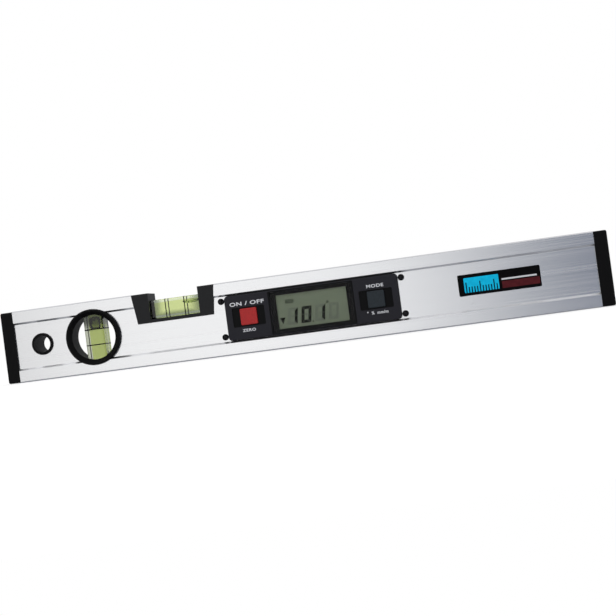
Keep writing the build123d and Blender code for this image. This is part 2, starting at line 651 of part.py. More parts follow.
def switch_base(side):
    """Square switch body on the board with a bore for its plunger."""
    base = block(about(SWITCH_SIZE / 2), (SWITCH_FRONT, BOARD_FRONT), about(SWITCH_SIZE / 2))
    base -= rod_y(0, 0, PLUNGER_DIAMETER / 2 + FIT_GAP, (SWITCH_FRONT, PLUNGER_REAR + KEY_TRAVEL + FIT_GAP))
    return Pos(side * KEY_PLACE, 0, 0) * base


def switch_plunger(side):
    """Plunger between the key stem and the switch."""
    return rod_y(side * KEY_PLACE, 0, PLUNGER_DIAMETER / 2, (PLUNGER_FRONT, PLUNGER_REAR))


def module_housing():
    """Housing behind the web: a shell round the bezel's tub, screw ears and the battery bay."""
    full_y = about(CAVITY_FACE)
    full_z = about(HOUSING_HEIGHT / 2)
    housing = block(about(HOUSING_LENGTH / 2), full_y, full_z)
    housing += block(about(EAR_REACH), (-CAVITY_FACE, EAR_THICKNESS - CAVITY_FACE), full_z)
    tub_x = about(TUB_LENGTH / 2 + HOUSING_GAP)
    tub_z = about(TUB_HEIGHT / 2 + HOUSING_GAP)
    back = CAVITY_FACE - HOUSING_WALL
    housing -= block(tub_x, (-CAVITY_FACE, back), tub_z)
    for x, z in FRAME_CORNERS:
        boss = rod_y(x, z, FRAME_BOSS / 2, (RAIL_FACE - FRAME_SCREW_LENGTH - HOUSING_WALL, back))
        housing += boss & block(tub_x, full_y, tub_z)
    bay_x = about(BAY_HALF_LENGTH + BAY_WALL)
    housing += block(bay_x, (BAY_FLOOR_FRONT, WEB_FACE), about(BAY_HALF_HEIGHT + BAY_WALL))
    housing -= block(about(BAY_HALF_LENGTH), (BAY_FLOOR_REAR, WEB_FACE), about(BAY_HALF_HEIGHT))
    tab_x = (CONTACT_X[0] - FIT_GAP, CONTACT_X[1])
    for z in about(CELL_Z):
        housing -= block(tab_x, (BAY_FLOOR_FRONT, BAY_FLOOR_REAR), near(z, TAB_WIDTH / 2 + FIT_GAP))
    screw_y = (-CAVITY_FACE, SCREW_LENGTH - WEB_FACE + FIT_GAP)
    for x, z in SCREW_CORNERS:
        housing -= rod_y(x, z, SCREW_SHANK / 2 + FIT_GAP / 2, screw_y)
    frame_screw_y = (RAIL_FACE - FRAME_SCREW_LENGTH - FIT_GAP, RAIL_FACE)
    for x, z in FRAME_CORNERS:
        housing -= rod_y(x, z, FRAME_SCREW_SHANK / 2 + FIT_GAP / 2, frame_screw_y)
    for x in about(KEY_PLACE):
        slot_x = near(x, SNAP_LENGTH / 2 + HOUSING_GAP)
        slot_y = (BOARD_FRONT - SNAP_DEPTH - HOUSING_GAP, BOARD_FRONT + HOUSING_GAP)
        housing -= block(slot_x, slot_y, about(TUB_HEIGHT / 2 + SNAP_HEIGHT + HOUSING_GAP))
    return housing


def module_screws():
    """Four screws through the web into the housing's ears."""
    sizes = (SCREW_HEAD, SCREW_HEAD_HEIGHT, SCREW_SHANK, SCREW_LENGTH)
    return group(screw(*sizes, x, z, -WEB_FACE, 1) for x, z in SCREW_CORNERS)


def battery_cell(side):
    """Cell whose positive end points along X to the given side."""
    nub_end = CONTACT_X[0] - FIT_GAP
    shoulder = nub_end - NUB_LENGTH
    cell = rod_x(CELL_Y, 0, CELL_DIAMETER / 2, (nub_end - CELL_LENGTH, shoulder))
    cell += rod_x(CELL_Y, 0, NUB_DIAMETER / 2, (shoulder, nub_end))
    return Pos(0, 0, side * CELL_Z) * (cell if side > 0 else mirror(cell, about=Plane.YZ))


def contact_plate(z):
    """Contact plate on the right wall of the bay for the cell at height z."""
    return block(CONTACT_X, near(CELL_Y, CONTACT_WIDTH / 2), near(z, CONTACT_WIDTH / 2))


def contact_tab(z):
    """Tab from a contact plate through the bay's floor to the board."""
    return block(CONTACT_X, (BOARD_REAR, CELL_Y), near(z, TAB_WIDTH / 2))


def contact_leaf(z):
    """Bent leaf spring that fills the room between a contact plate and a cell's flat end."""
    wall = CONTACT_X[0]
    tip = wall - SPRING_ROOM + 2 * FIT_GAP
    top = CELL_Y + CONTACT_WIDTH / 2
    outline = [
        (wall, CELL_Y - CONTACT_WIDTH / 2),
        (tip, CELL_Y),
        (wall, top),
        (wall, top - 2 * CONTACT_THICKNESS),
        (tip + 2 * CONTACT_THICKNESS, CELL_Y),
        (wall, CELL_Y - CONTACT_WIDTH / 2 + 2 * CONTACT_THICKNESS),
    ]
    face = make_face(Polyline(*outline, close=True).edges())
    return Pos(0, 0, z) * extrude(face, amount=TAB_WIDTH / 2, both=True)


def battery_contact_positive():
    """Right contact of the upper cell."""
    return contact_plate(CELL_Z) + contact_tab(CELL_Z)


def battery_contact_negative():
    """Right contact of the lower cell, with its leaf spring."""
    return contact_plate(-CELL_Z) + contact_tab(-CELL_Z) + contact_leaf(-CELL_Z)


def battery_link():
    """Left plate that joins the two cells, with a leaf spring for the upper one."""
    right = contact_plate(CELL_Z) + contact_plate(-CELL_Z) + contact_leaf(CELL_Z)
    right += block(CONTACT_X, near(CELL_Y, TAB_WIDTH / 2), about(CELL_Z))
    return mirror(right, about=Plane.YZ)


def battery_frame():
    """U-shaped frame on the rear web, open to the right, with grooves for the door's tongues."""
    frame = block((FRAME_LEFT, DOOR_HALF_LENGTH), (WEB_FACE, RAIL_FACE), about(FRAME_HALF_HEIGHT))
    open_x = (-DOOR_HALF_LENGTH - SLIDE_GAP, 2 * DOOR_HALF_LENGTH)
    frame -= block(open_x, THROUGH, about(DOOR_HALF_HEIGHT + SLIDE_GAP))
    groove_y = (WEB_FACE, DOOR_FRONT + TONGUE_THICKNESS + SLIDE_GAP)
    frame -= block(open_x, groove_y, about(GROOVE_HALF_HEIGHT))
    for x, z in FRAME_CORNERS:
        frame -= frame_screw(x, z, FIT_GAP)
    return frame


def frame_screw(x, z, gap):
    """Countersunk screw, or the hole for one when grown by a gap."""
    shank = FRAME_SCREW_SHANK / 2 + gap
    head = FRAME_SCREW_HEAD / 2 + gap
    shoulder = RAIL_FACE - FRAME_SCREW_HEAD_HEIGHT
    outline = [
        (0, RAIL_FACE),
        (head, RAIL_FACE),
        (shank, shoulder),
        (shank, RAIL_FACE - FRAME_SCREW_LENGTH),
        (0, RAIL_FACE - FRAME_SCREW_LENGTH),
    ]
    return Pos(x, 0, z) * turned(outline, Axis.Y)


def battery_frame_screws():
    """Four countersunk screws through the frame and web into the housing."""
    slot_y = (RAIL_FACE - SLOT_DEPTH, RAIL_FACE)
    slot = block(about(FRAME_SCREW_HEAD), slot_y, about(SLOT_WIDTH / 2))
    return group(frame_screw(x, z, 0) - Pos(x, 0, z) * slot for x, z in FRAME_CORNERS)


def battery_door():
    """Sliding door with a tongue along its top and bottom edges and finger grooves."""
    door = block(about(DOOR_HALF_LENGTH), (DOOR_FRONT, DOOR_REAR), about(DOOR_HALF_HEIGHT))
    tongue_y = (DOOR_FRONT, DOOR_FRONT + TONGUE_THICKNESS)
    door += block(about(DOOR_HALF_LENGTH), tongue_y, about(DOOR_HALF_HEIGHT + TONGUE))
    grip_y = (DOOR_REAR - GRIP_DEPTH, DOOR_REAR)
    for index in range(GRIP_COUNT):
        x = DOOR_HALF_LENGTH - DOOR_END_LAP - (index + 1) * GRIP_PITCH
        door -= block(near(x, GRIP_WIDTH / 2), grip_y, about(DOOR_HALF_HEIGHT / 2))
    return door


def front_label():
    """Plain label on the front web."""
    z = near(MID_HEIGHT + LABEL_LIFT, LABEL_HEIGHT / 2)
    face_y = (-WEB_FACE - LABEL_THICKNESS, -WEB_FACE)
    return plate(near(LABEL_X, LABEL_LENGTH / 2), face_y, z, LABEL_ROUND)


def body_nodes():
    """Profile, caps, bush, ring and label."""
    cap = end_cap()
    bush = hang_bush()
    return {
        "profile_body": profile_body(),
        "end_cap_left": mirror(cap, about=Plane.YZ),
        "end_cap_right": cap,
        "hang_bush_front": bush,
        "hang_bush_rear": to_rear(bush),
        "plumb_ring_front": plumb_ring(rear=False),
        "plumb_ring_rear": plumb_ring(rear=True),
        "level_vial_holder": level_vial_holder(),
        "level_vial_retainer": level_vial_retainer(),
        "front_label": front_label(),
    }


def vial_nodes():
    """Both vials in their places; the plumb vial stands upright with its plug on top."""
    bubble_rise = CAVITY_RADIUS - CAVITY_TAPER - BUBBLE_GAP - BUBBLE_RADIUS
    level = vial(LEVEL_VIAL_LENGTH, LEVEL_VIAL_WIDTH, LEVEL_SEAT, LEVEL_BUBBLE_LENGTH, bubble_rise)
    plumb = vial(PLUMB_VIAL_LENGTH, PLUMB_VIAL_WIDTH, PLUMB_SEAT, PLUMB_BUBBLE_LENGTH, 0)
    level_place = Pos(HOLDER_X, 0, LEVEL_VIAL_HEIGHT)
    plumb_place = Pos(PLUMB_X, 0, MID_HEIGHT) * Rot(0, -90, 0)
    nodes = {f"level_vial_{name}": level_place * solid for name, solid in level.items()}
    nodes.update({f"plumb_vial_{name}": plumb_place * solid for name, solid in plumb.items()})
    return nodes


def module_nodes():
    """Everything in the display module, about the module's own centre."""
    return {
        "module_gasket": module_gasket(),
        "module_bezel": module_bezel(),
        "display_window": display_window(),
        "lcd_glass": lcd_glass(),
        "lcd_spacer": lcd_spacer(),
        "zebra_strips": zebra_strips(),
        "main_board": main_board(),
        "board_screws": board_screws(),
        "tilt_sensor": tilt_sensor(),
        "controller_chip": controller_chip(),
        "board_capacitors": board_capacitors(),
        "power_key": key(*KEYS[0]),
        "power_switch_base": switch_base(-1),
        "power_switch_plunger": switch_plunger(-1),
        "mode_key": key(*KEYS[1]),
        "mode_switch_base": switch_base(1),
        "mode_switch_plunger": switch_plunger(1),
        "module_housing": module_housing(),
        "module_screws": module_screws(),
        "battery_cell_upper": battery_cell(1),
        "battery_cell_lower": battery_cell(-1),
        "battery_contact_positive": battery_contact_positive(),
        "battery_contact_negative": battery_contact_negative(),
        "battery_link": battery_link(),
        "battery_frame": battery_frame(),
        "battery_frame_screws": battery_frame_screws(),
        "battery_door": battery_door(),
    }


def main():
    """Write one STEP file for each node."""
    os.makedirs("parts", exist_ok=True)
    nodes = body_nodes()
    nodes.update(vial_nodes())
    nodes.update({name: MODULE * solid for name, solid in module_nodes().items()})
    for name, solid in nodes.items():
        export_step(solid, f"parts/{name}.step")


main()
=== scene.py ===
"""Looks of a digital spirit level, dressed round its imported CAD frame.

Lengths are metres unless a line says millimetres. X runs along the level, -Y is its front and +Z is up.
"""

from __future__ import annotations

import logging
import math
from collections.abc import Callable, Iterable, Sequence
from dataclasses import dataclass
from enum import Enum
from functools import partial

import bmesh
import bpy
from mathutils import Matrix, Vector

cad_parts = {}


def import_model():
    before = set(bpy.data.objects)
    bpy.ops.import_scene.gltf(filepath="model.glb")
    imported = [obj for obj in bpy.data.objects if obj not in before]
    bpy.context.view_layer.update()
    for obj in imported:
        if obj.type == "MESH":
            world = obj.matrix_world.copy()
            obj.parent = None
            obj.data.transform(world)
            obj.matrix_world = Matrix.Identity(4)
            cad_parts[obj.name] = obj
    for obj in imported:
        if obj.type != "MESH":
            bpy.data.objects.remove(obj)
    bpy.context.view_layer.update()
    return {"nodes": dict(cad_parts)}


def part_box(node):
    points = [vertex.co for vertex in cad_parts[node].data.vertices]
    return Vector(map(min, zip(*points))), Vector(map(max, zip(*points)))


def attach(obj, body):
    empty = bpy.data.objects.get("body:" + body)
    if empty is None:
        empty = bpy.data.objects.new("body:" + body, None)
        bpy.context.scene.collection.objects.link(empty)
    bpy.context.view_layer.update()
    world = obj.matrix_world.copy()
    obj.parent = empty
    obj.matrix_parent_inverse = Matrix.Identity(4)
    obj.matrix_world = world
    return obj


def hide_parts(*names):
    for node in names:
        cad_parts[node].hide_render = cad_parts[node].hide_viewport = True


LOG = logging.getLogger("spirit_level")
MM = 0.001
WHITE = "#ffffff"
INK_THICKNESS = 0.02 * MM
# Angles from which an edge stays sharp: on most pieces, and on one whose flat sides must not bend light.
SHARP_DEGREES = 35.0
FLAT_DEGREES = 4.0
# Sockets of a colour Mix node, which has several of the same name.
MIX_SHARE, MIX_FIRST, MIX_SECOND, MIX_RESULT = 0, 6, 7, 2
Mesh = bpy.types.Mesh
Node = bpy.types.Node
NodeSocket = bpy.types.NodeSocket
NodeTree = bpy.types.NodeTree
AddNode = Callable[..., Node]
Point = tuple[float, float]
Triple = tuple[float, float, float]
Outline = list[Point]


class Body(Enum):
    """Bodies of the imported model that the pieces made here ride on."""

    LEVEL = "level_body"
    DOOR = "door_set"
    LEVEL_BUBBLE = "level_bubble_set"
    PLUMB_BUBBLE = "plumb_bubble_set"


class Slot(Enum):
    """Material slots of the record that the pieces made here take their finish from."""

    ACRYLIC = "clear_acrylic"
    LIQUID = "vial_liquid"
    BUBBLE = "vial_bubble"
    BLACK = "black_plastic"
    WHITE = "white_plastic"
    LCD = "lcd_glass"
    RUBBER = "soft_rubber"
    STEEL = "black_steel"
    LABEL = "label_film"


class Axis(Enum):
    """Direction that a vial lies along, by the number of its coordinate."""

    ALONG = 0
    UPRIGHT = 2

    def turn(self) -> Matrix:
        """Return the turn from the X axis to this one."""
        angle = -math.pi / 2 if self is Axis.UPRIGHT else 0.0
        return Matrix.Rotation(angle, 4, "Y")


def linear(code: str) -> tuple[float, float, float, float]:
    """Turn an sRGB hex colour into linear RGBA, by the sRGB standard's curve.

    Args:
        code: Colour such as "#d8d9dc".

    Returns:
        Linear red, green and blue, and an alpha of 1.
    """
    shares = [int(code[place : place + 2], 16) / 255 for place in (1, 3, 5)]
    red, green, blue = (s / 12.92 if s <= 0.04045 else ((s + 0.055) / 1.055) ** 2.4 for s in shares)
    return red, green, blue, 1.0


def add_node(tree: NodeTree, kind: str, inputs: dict | None = None, **settings: object) -> Node:
    """Add a node with its settings, input values and incoming links.

    Args:
        tree: Tree that gets the node.
        kind: Blender's identifier of the node type.
        inputs: What each input takes, by name or index: a value, an output socket, or a node, which
            gives its first output. A list gives several nodes to one input.
        **settings: Properties of the node itself.

    Returns:
        The new node.
    """
    node = tree.nodes.new(kind)
    for name, value in settings.items():
        setattr(node, name, value)
    for key, given in (inputs or {}).items():
        for value in given if isinstance(given, list) else [given]:
            if isinstance(value, Node):
                value = value.outputs[0]
            if isinstance(value, NodeSocket):
                tree.links.new(value, node.inputs[key])
            else:
                node.inputs[key].default_value = value
    return node


def empty_nodes(owner: bpy.types.Material | bpy.types.World) -> AddNode:
    """Empty the nodes of a material or world, and return the function that adds one to it."""
    owner.use_nodes = True
    owner.node_tree.nodes.clear()
    return partial(add_node, owner.node_tree)


def ray_kinds(add: AddNode) -> tuple[Node, NodeSocket]:
    """Return what gives 1 to the camera's view, straight or through glass, and to mirror rays."""
    rays = add("ShaderNodeLightPath").outputs
    seen = {0: rays["Is Camera Ray"], 1: rays["Is Transmission Ray"]}
    return add("ShaderNodeMath", seen, operation="MAXIMUM"), rays["Is Glossy Ray"]


@dataclass(frozen=True)
class Finish:
    """Named material of one kind of surface."""

    name: str

    def shader(self, add: AddNode) -> Node:
        """Build the surface's nodes and return the last one."""
        raise NotImplementedError

    def material(self) -> bpy.types.Material:
        """Make the material, or return the one that was made before."""
        made = bpy.data.materials.get(self.name)
        if made is None:
            made = bpy.data.materials.new(self.name)
            add = empty_nodes(made)
            add("ShaderNodeOutputMaterial", {"Surface": self.shader(add)})
        return made

    def put_on(self, mesh: Mesh) -> None:
        """Make this the only material of a mesh."""
        mesh.materials.clear()
        mesh.materials.append(self.material())


@dataclass(frozen=True)
class Grained(Finish):
    """Opaque surface whose colour, gloss and relief follow one grain.

    A pair holds the values in the grain's lows and highs, and the grain's sizes are millimetres.

    Attributes:
        shine: Specular IOR level; 0.5 stands for an IOR of 1.5.
        grain_length: Length along X of a grain that is drawn out; 0 for one that is as long as wide.
        detail: Finer layers in the grain.
        spread: Part of the noise's range that goes from the lows to the highs.
    """

    colours: tuple[str, str]
    roughness: Point
    grain_width: float
    grain_depth: float
    shine: float = 0.5
    metallic: float = 0.0
    grain_length: float = 0.0
    detail: float = 3.0
    spread: Point = (0.3, 0.7)

    def shader(self, add: AddNode) -> Node:
        """Build the grain and the shader that it drives."""
        place = add("ShaderNodeTexCoord").outputs["Object"]
        sizes = (self.grain_length or self.grain_width, self.grain_width, self.grain_width)
        scale = tuple(1 / (size * MM) for size in sizes)
        placed = add("ShaderNodeMapping", {"Vector": place, "Scale": scale})
        noise = add("ShaderNodeTexNoise", {"Vector": placed, "Scale": 1.0, "Detail": self.detail})
        low, high = self.spread
        share = add("ShaderNodeMapRange", {"Value": noise, "From Min": low, "From Max": high})
        low, high = (linear(code) for code in self.colours)
        colours = {MIX_SHARE: share, MIX_FIRST: low, MIX_SECOND: high}
        tone = add("ShaderNodeMix", colours, data_type="RGBA")
        low, high = self.roughness
        relief = {"Height": share, "Strength": 1.0, "Distance": self.grain_depth * MM}
        inputs = {
            "Base Color": tone.outputs[MIX_RESULT],
            "Roughness": add("ShaderNodeMapRange", {"Value": share, "To Min": low, "To Max": high}),
            "Normal": add("ShaderNodeBump", relief),
            "Metallic": self.metallic,
            "Specular IOR Level": self.shine,
        }
        return add("ShaderNodeBsdfPrincipled", inputs)


@dataclass(frozen=True)
class ClearSolid(Finish):
    """Clear solid that bends light and tints what is seen through it; sizes are millimetres.

    Attributes:
        colours: sRGB hex colours of white light that has passed the clear parts and the parts with painted
            shade.
        ior: Index of refraction against what lies round it.
        wave_depth: Depth of the surface's faint waves.
        painted_shade: Painted shade: axis, and places along it where each shaded part starts and is full.
        clouds: Share of the second colour, which is also the painted shade's, in the faint clouds inside.
    """

    colours: tuple[str, str]
    ior: float
    wave_depth: float = 0.0
    painted_shade: tuple[tuple[str, float, float], ...] = ()
    wave_width: float = 6.0
    cloud_width: float = 9.0
    clouds: float = 0.06
    roughness: float = 0.02

    def tone(self, add: AddNode, place: NodeSocket) -> NodeSocket:
        """Build the tint, which goes from clear to painted shade.

        Args:
            add: Function that adds a node to the material.
            place: Object coordinates.

        Returns:
            The colour output.
        """
        parts = add("ShaderNodeSeparateXYZ", {0: place}).outputs
        cloud = {"Vector": place, "Scale": 1 / (self.cloud_width * MM), "Detail": 1.0}
        noise = add("ShaderNodeTexNoise", cloud)
        share = add("ShaderNodeMath", {0: noise, 1: self.clouds}, operation="MULTIPLY")
        # Painted shade: each span darkens the tint towards the second colour along an axis.
        for axis, start, full in self.painted_shade:
            span = {"Value": parts[axis], "From Min": start * MM, "From Max": full * MM}
            part = add("ShaderNodeMapRange", span, interpolation_type="SMOOTHSTEP")
            share = add("ShaderNodeMath", {0: share, 1: part}, operation="MAXIMUM")
        clear, cloud_and_shade = (linear(code) for code in self.colours)
        colours = {MIX_SHARE: share, MIX_FIRST: clear, MIX_SECOND: cloud_and_shade}
        return add("ShaderNodeMix", colours, data_type="RGBA").outputs[MIX_RESULT]

    def shader(self, add: AddNode) -> Node:
        """Build a polished surface with faint waves."""
        place = add("ShaderNodeTexCoord").outputs["Object"]
        wave = {"Vector": place, "Scale": 1 / (self.wave_width * MM), "Detail": 1.0}
        noise = add("ShaderNodeTexNoise", wave)
        relief = {"Height": noise, "Strength": 1.0, "Distance": self.wave_depth * MM}
        inputs = {
            "Base Color": self.tone(add, place),
            "Roughness": self.roughness,
            "IOR": self.ior,
            "Transmission Weight": 1.0,
            "Normal": add("ShaderNodeBump", relief),
        }
        return add("ShaderNodeBsdfPrincipled", inputs)


@dataclass(frozen=True)
class Bubble(Finish):
    """Air inside a liquid: an index below 1 bends light the other way, which gives a dark rim."""

    colour: str
    ior: float

    def shader(self, add: AddNode) -> Node:
        """Build a clear surface with no roughness."""
        inputs = {"Color": linear(self.colour), "Roughness": 0.0, "IOR": self.ior}
        return add("ShaderNodeBsdfGlass", inputs)


@dataclass(frozen=True)
class WindowPane(Finish):
    """Thin clear pane: it mirrors a little, more at a flat angle, and passes the rest straight.

    Attributes:
        least: Share of light that it mirrors straight on.
        steepness: Power by which that share grows towards a flat angle, as on all glass.
    """

    least: float
    roughness: float
    steepness: float = 5.0

    def shader(self, add: AddNode) -> Node:
        """Mix a mirror over a see-through pane by the angle of view, the same from both sides."""
        mirror = add("ShaderNodeBsdfGlossy", {"Roughness": self.roughness})
        passed = add("ShaderNodeBsdfTransparent")
        facing = add("ShaderNodeLayerWeight", {"Blend": 0.5}).outputs["Facing"]
        steep = add("ShaderNodeMath", {0: facing, 1: self.steepness}, operation="POWER")
        rise = {0: steep, 1: 1 - self.least, 2: self.least}
        share = add("ShaderNodeMath", rise, operation="MULTIPLY_ADD")
        return add("ShaderNodeMixShader", {0: share, 1: passed, 2: mirror})


@dataclass(frozen=True)
class CellSleeve(Finish):
    """Printed foil sleeve of a cell; a pair holds the values of the sleeve and of its brighter band.

    Attributes:
        split: Place along X where the band starts.
        right: True if the band is on the side of +X.
        metallic: Share of bare foil that shows through the print.
    """

    split: float
    right: bool
    colours: tuple[str, str] = ("#20242b", "#b98a4e")
    roughness: Point = (0.4, 0.25)
    metallic: float = 0.6

    def shader(self, add: AddNode) -> Node:
        """Build the two colours on either side of the split."""
        place = add("ShaderNodeTexCoord").outputs["Object"]
        along = add("ShaderNodeSeparateXYZ", {0: place}).outputs["X"]
        side = "GREATER_THAN" if self.right else "LESS_THAN"
        share = add("ShaderNodeMath", {0: along, 1: self.split}, operation=side)
        low, high = (linear(code) for code in self.colours)
        colours = {MIX_SHARE: share, MIX_FIRST: low, MIX_SECOND: high}
        tone = add("ShaderNodeMix", colours, data_type="RGBA")
        low, high = self.roughness
        inputs = {
            "Base Color": tone.outputs[MIX_RESULT],
            "Metallic": self.metallic,
            "Roughness": add("ShaderNodeMapRange", {"Value": share, "To Min": low, "To Max": high}),
        }
        return add("ShaderNodeBsdfPrincipled", inputs)


@dataclass(frozen=True)
class StudioFloor(Finish):
    """White floor: part paint that takes shadows, part glow that only the camera sees.

    Attributes:
        glow: White that shadows don't darken, round the level and far from it.
        reach: Distance from the level where the near glow ends and where the far one starts.
    """

    paint: str = "#e6e6e6"
    glow: Point = (0.3, 0.42)
    reach: Point = (0.5, 1.6)

    def shader(self, add: AddNode) -> Node:
        """Add the glow to the paint, and let mirror rays pass, so that metal shows the surround."""
        paint = add("ShaderNodeBsdfDiffuse", {"Color": linear(self.paint)})
        place = add("ShaderNodeTexCoord").outputs["Object"]
        away = add("ShaderNodeVectorMath", {0: place}, operation="LENGTH").outputs["Value"]
        span = {"Value": away, "From Min": self.reach[0], "From Max": self.reach[1]}
        span.update({"To Min": self.glow[0], "To Max": self.glow[1]})
        strength = add("ShaderNodeMapRange", span)
        glow = add("ShaderNodeEmission", {"Color": linear(WHITE), "Strength": strength})
        lit = add("ShaderNodeAddShader", {0: paint, 1: glow})
        seen, mirrored = ray_kinds(add)
        shown = add("ShaderNodeMixShader", {0: seen, 1: paint, 2: lit})
        passed = add("ShaderNodeBsdfTransparent")
        return add("ShaderNodeMixShader", {0: mirrored, 1: shown, 2: passed})


# Extruded and anodised: satin, with faint lines along its length. The real lines are about
# 0.1 mm apart, and are drawn 0.9 mm apart so that they show.
ALUMINIUM = Grained(
    "Anodised drawn aluminium",
    ("#f6f7f8", "#fcfcfd"),
    (0.22, 0.28),
    0.9,
    0.0013,
    metallic=1.0,
    grain_length=320.0,
)
# Injection-moulded with a fine sparked texture, which greys the black a little. The real texture is
# about 0.1 mm wide, and on this and the other mouldings it is drawn coarser so that it shows.
BLACK_ABS = Grained("Moulded black ABS", ("#101113", "#1a1b1d"), (0.5, 0.62), 0.8, 0.01, 0.3)
# The same with a finer texture: deep black, with hardly any gloss.
MATT_ABS = Grained("Moulded matt black ABS", ("#050506", "#0a0a0b"), (0.5, 0.62), 0.8, 0.01, 0.12)
# Two greys with the same texture, which look soft next to the black parts.
BEZEL_ABS = Grained("Moulded dark grey ABS", ("#1d1d22", "#26262d"), (0.45, 0.6), 0.8, 0.01, 0.18)
DOOR_ABS = Grained("Moulded charcoal ABS", ("#2c2d32", "#36373d"), (0.42, 0.55), 0.8, 0.01, 0.25)
# Moulded in smoother tools: even colours with a soft highlight.
RED_ABS = Grained("Moulded red ABS", ("#9c191a", "#ae1f20"), (0.34, 0.44), 1.2, 0.006, 0.35)
KEY_ABS = Grained("Moulded slate ABS", ("#1f262b", "#272f35"), (0.4, 0.52), 1.2, 0.006, 0.25)
WHITE_ABS = Grained("Moulded white ABS", ("#d6d5d0", "#e2e1dd"), (0.45, 0.55), 1.5, 0.006)
# Soft and matt, with a skin of fine pores.
RUBBER = Grained("Black nitrile rubber", ("#131313", "#1b1b1b"), (0.75, 0.9), 0.6, 0.01, 0.25)
# Zinc-plated and blackened: dark, with soft highlights.
BLACK_STEEL = Grained("Blackened steel", ("#17171a", "#232327"), (0.35, 0.5), 0.7, 0.004, metallic=0.7)
# Drawn or stamped, and plated: bright, with a slightly cloudy mirror.
BRIGHT_CAN = Grained("Tinned steel can", ("#b9bbbd", "#c9cbcd"), (0.25, 0.4), 2.0, 0.004, metallic=1.0)
PLATED_BRASS = Grained("Plated brass strip", ("#b99a55", "#cbb06c"), (0.25, 0.4), 3.0, 0.003, metallic=1.0)
# A lacquer over copper: glossy green that waves a little with the copper under it.
BOARD = Grained("Green solder mask", ("#0d4a25", "#14592e"), (0.3, 0.42), 2.5, 0.01)
# A reflective LCD: grey-green, a little cloudy, with the dull gloss of its polariser film.
LCD_CELL = Grained("Reflective LCD film", ("#616c58", "#68735e"), (0.35, 0.42), 9.0, 0.0, 0.3)
# Its segments: near black when driven, greyer when weak, and hardly seen at rest.
LCD_INK = Grained("LCD segment", ("#0a0c09", "#11140f"), (0.4, 0.5), 3.0, 0.0, 0.05)
LCD_FAINT = Grained("Weak LCD segment", ("#464e41", "#4d5547"), (0.4, 0.5), 3.0, 0.0, 0.05)
LCD_GHOST = Grained("LCD segment at rest", ("#5a6254", "#5e6758"), (0.38, 0.45), 3.0, 0.0, 0.2)
# Screen-printed inks and films: thin, even and slightly glossy.
# The black ink is also laid as painted shade in the key pockets and in the door's grip grooves.
BLACK_INK_AND_SHADE = Grained("Black screen ink", ("#050607", "#090a0b"), (0.3, 0.4), 4.0, 0.001, 0.1)
PALE_INK = Grained("Pale grey screen ink", ("#c4c6cc", "#d4d6da"), (0.5, 0.6), 0.9, 0.002, 0.3)
LABEL_FILM = Grained("Black label film", ("#040405", "#080809"), (0.4, 0.5), 5.0, 0.002, 0.06)
CYAN_INK = Grained("Cyan label ink", ("#02aeda", "#0abfea"), (0.35, 0.45), 2.5, 0.001, 0.1)
WINE_INK = Grained("Dark red label ink", ("#46141a", "#541a20"), (0.35, 0.45), 2.5, 0.001, 0.1)
# Cast and polished acrylic: clear and faintly green, with painted shade next to the black parts that hold
# it.
LEVEL_ACRYLIC = ClearSolid(
    "Polished green-tinted acrylic",
    ("#d9e2bd", "#848d7b"),
    1.49,
    0.002,
    # Painted shade: darker towards both ends and towards the foot.
    (("X", -112.0, -119.0), ("X", -92.0, -81.0), ("Z", 45.0, 40.0)),
)
PLUMB_ACRYLIC = ClearSolid(
    "Polished smoky acrylic",
    ("#b4b8a8", "#484c44"),
    1.49,
    0.002,
    # Painted shade: darker towards the top and towards one side.
    (("Z", 33.0, 44.0), ("X", -168.0, -156.0)),
)
# Dyed spirit: its index is close to the acrylic's, so the wall between them hardly shows.
PALE_LIQUID = ClearSolid("Pale yellow-green vial liquid", ("#eef2c5", "#e4eab4"), 1.0)
DEEP_LIQUID = ClearSolid("Yellow-green vial liquid", ("#e2ee9b", "#d8e58c"), 1.0)
# Air with a clean wall: a bright middle in a dark rim.
PALE_AIR = Bubble("Air in pale vial liquid", "#e4ecc8", 0.72)
DEEP_AIR = Bubble("Air in vial liquid", "#d4d8bc", 0.68)
# Anti-glare coated, so it mirrors less than bare acrylic.
PANE = WindowPane("Coated display pane", 0.008, 0.06)


def middle_of(node: str) -> Vector:
    """Return the middle of a node's box."""
    low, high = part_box(node)
    return (low + high) / 2


def face_of(node: str, margin: float) -> tuple[Point, Point]:
    """Return the lowest and the highest X and Z of a node's box, drawn in by a margin."""
    low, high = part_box(node)
    return (low.x + margin, low.z + margin), (high.x - margin, high.z - margin)


def rectangle(low: Point, high: Point) -> Outline:
    """Return the corners of a rectangle, counter-clockwise from the lowest one."""
    return [low, (high[0], low[1]), high, (low[0], high[1])]


def rounded_rectangle(low: Point, high: Point, radius: float, steps: int = 6) -> Outline:
    """Outline a rectangle with round corners.

    Args:
        low: Lowest corner.
        high: Highest corner.
        radius: Radius of the corners.
        steps: Straight runs in each corner.

    Returns:
        Points of the outline, counter-clockwise from the right.
    """
    left, foot, right, top = low[0] + radius, low[1] + radius, high[0] - radius, high[1] - radius
    points = []
    for quarter, (x, z) in enumerate(((right, top), (left, top), (left, foot), (right, foot))):
        for step in range(steps + 1):
            angle = math.pi / 2 * (quarter + step / steps)
            points.append((x + radius * math.cos(angle), z + radius * math.sin(angle)))
    return points


def shade(mesh: Mesh, sharp_degrees: float = SHARP_DEGREES) -> Mesh:
    """Smooth a mesh's faces, apart from its sharp edges, and return it."""
    mesh.shade_smooth()
    mesh.set_sharp_from_angle(angle=math.radians(sharp_degrees))
    return mesh


def mesh_from(name: str, form: bmesh.types.BMesh, sharp_degrees: float = SHARP_DEGREES) -> Mesh:
    """Turn a bmesh into a mesh whose faces point outwards.

    Args:
        name: Name of the mesh.
        form: Closed shape; it is freed.
        sharp_degrees: Angle from which an edge stays sharp.

    Returns:
        The shaded mesh.
    """
    bmesh.ops.recalc_face_normals(form, faces=form.faces)
    mesh = bpy.data.meshes.new(name)
    form.to_mesh(mesh)
    form.free()
    return shade(mesh, sharp_degrees)


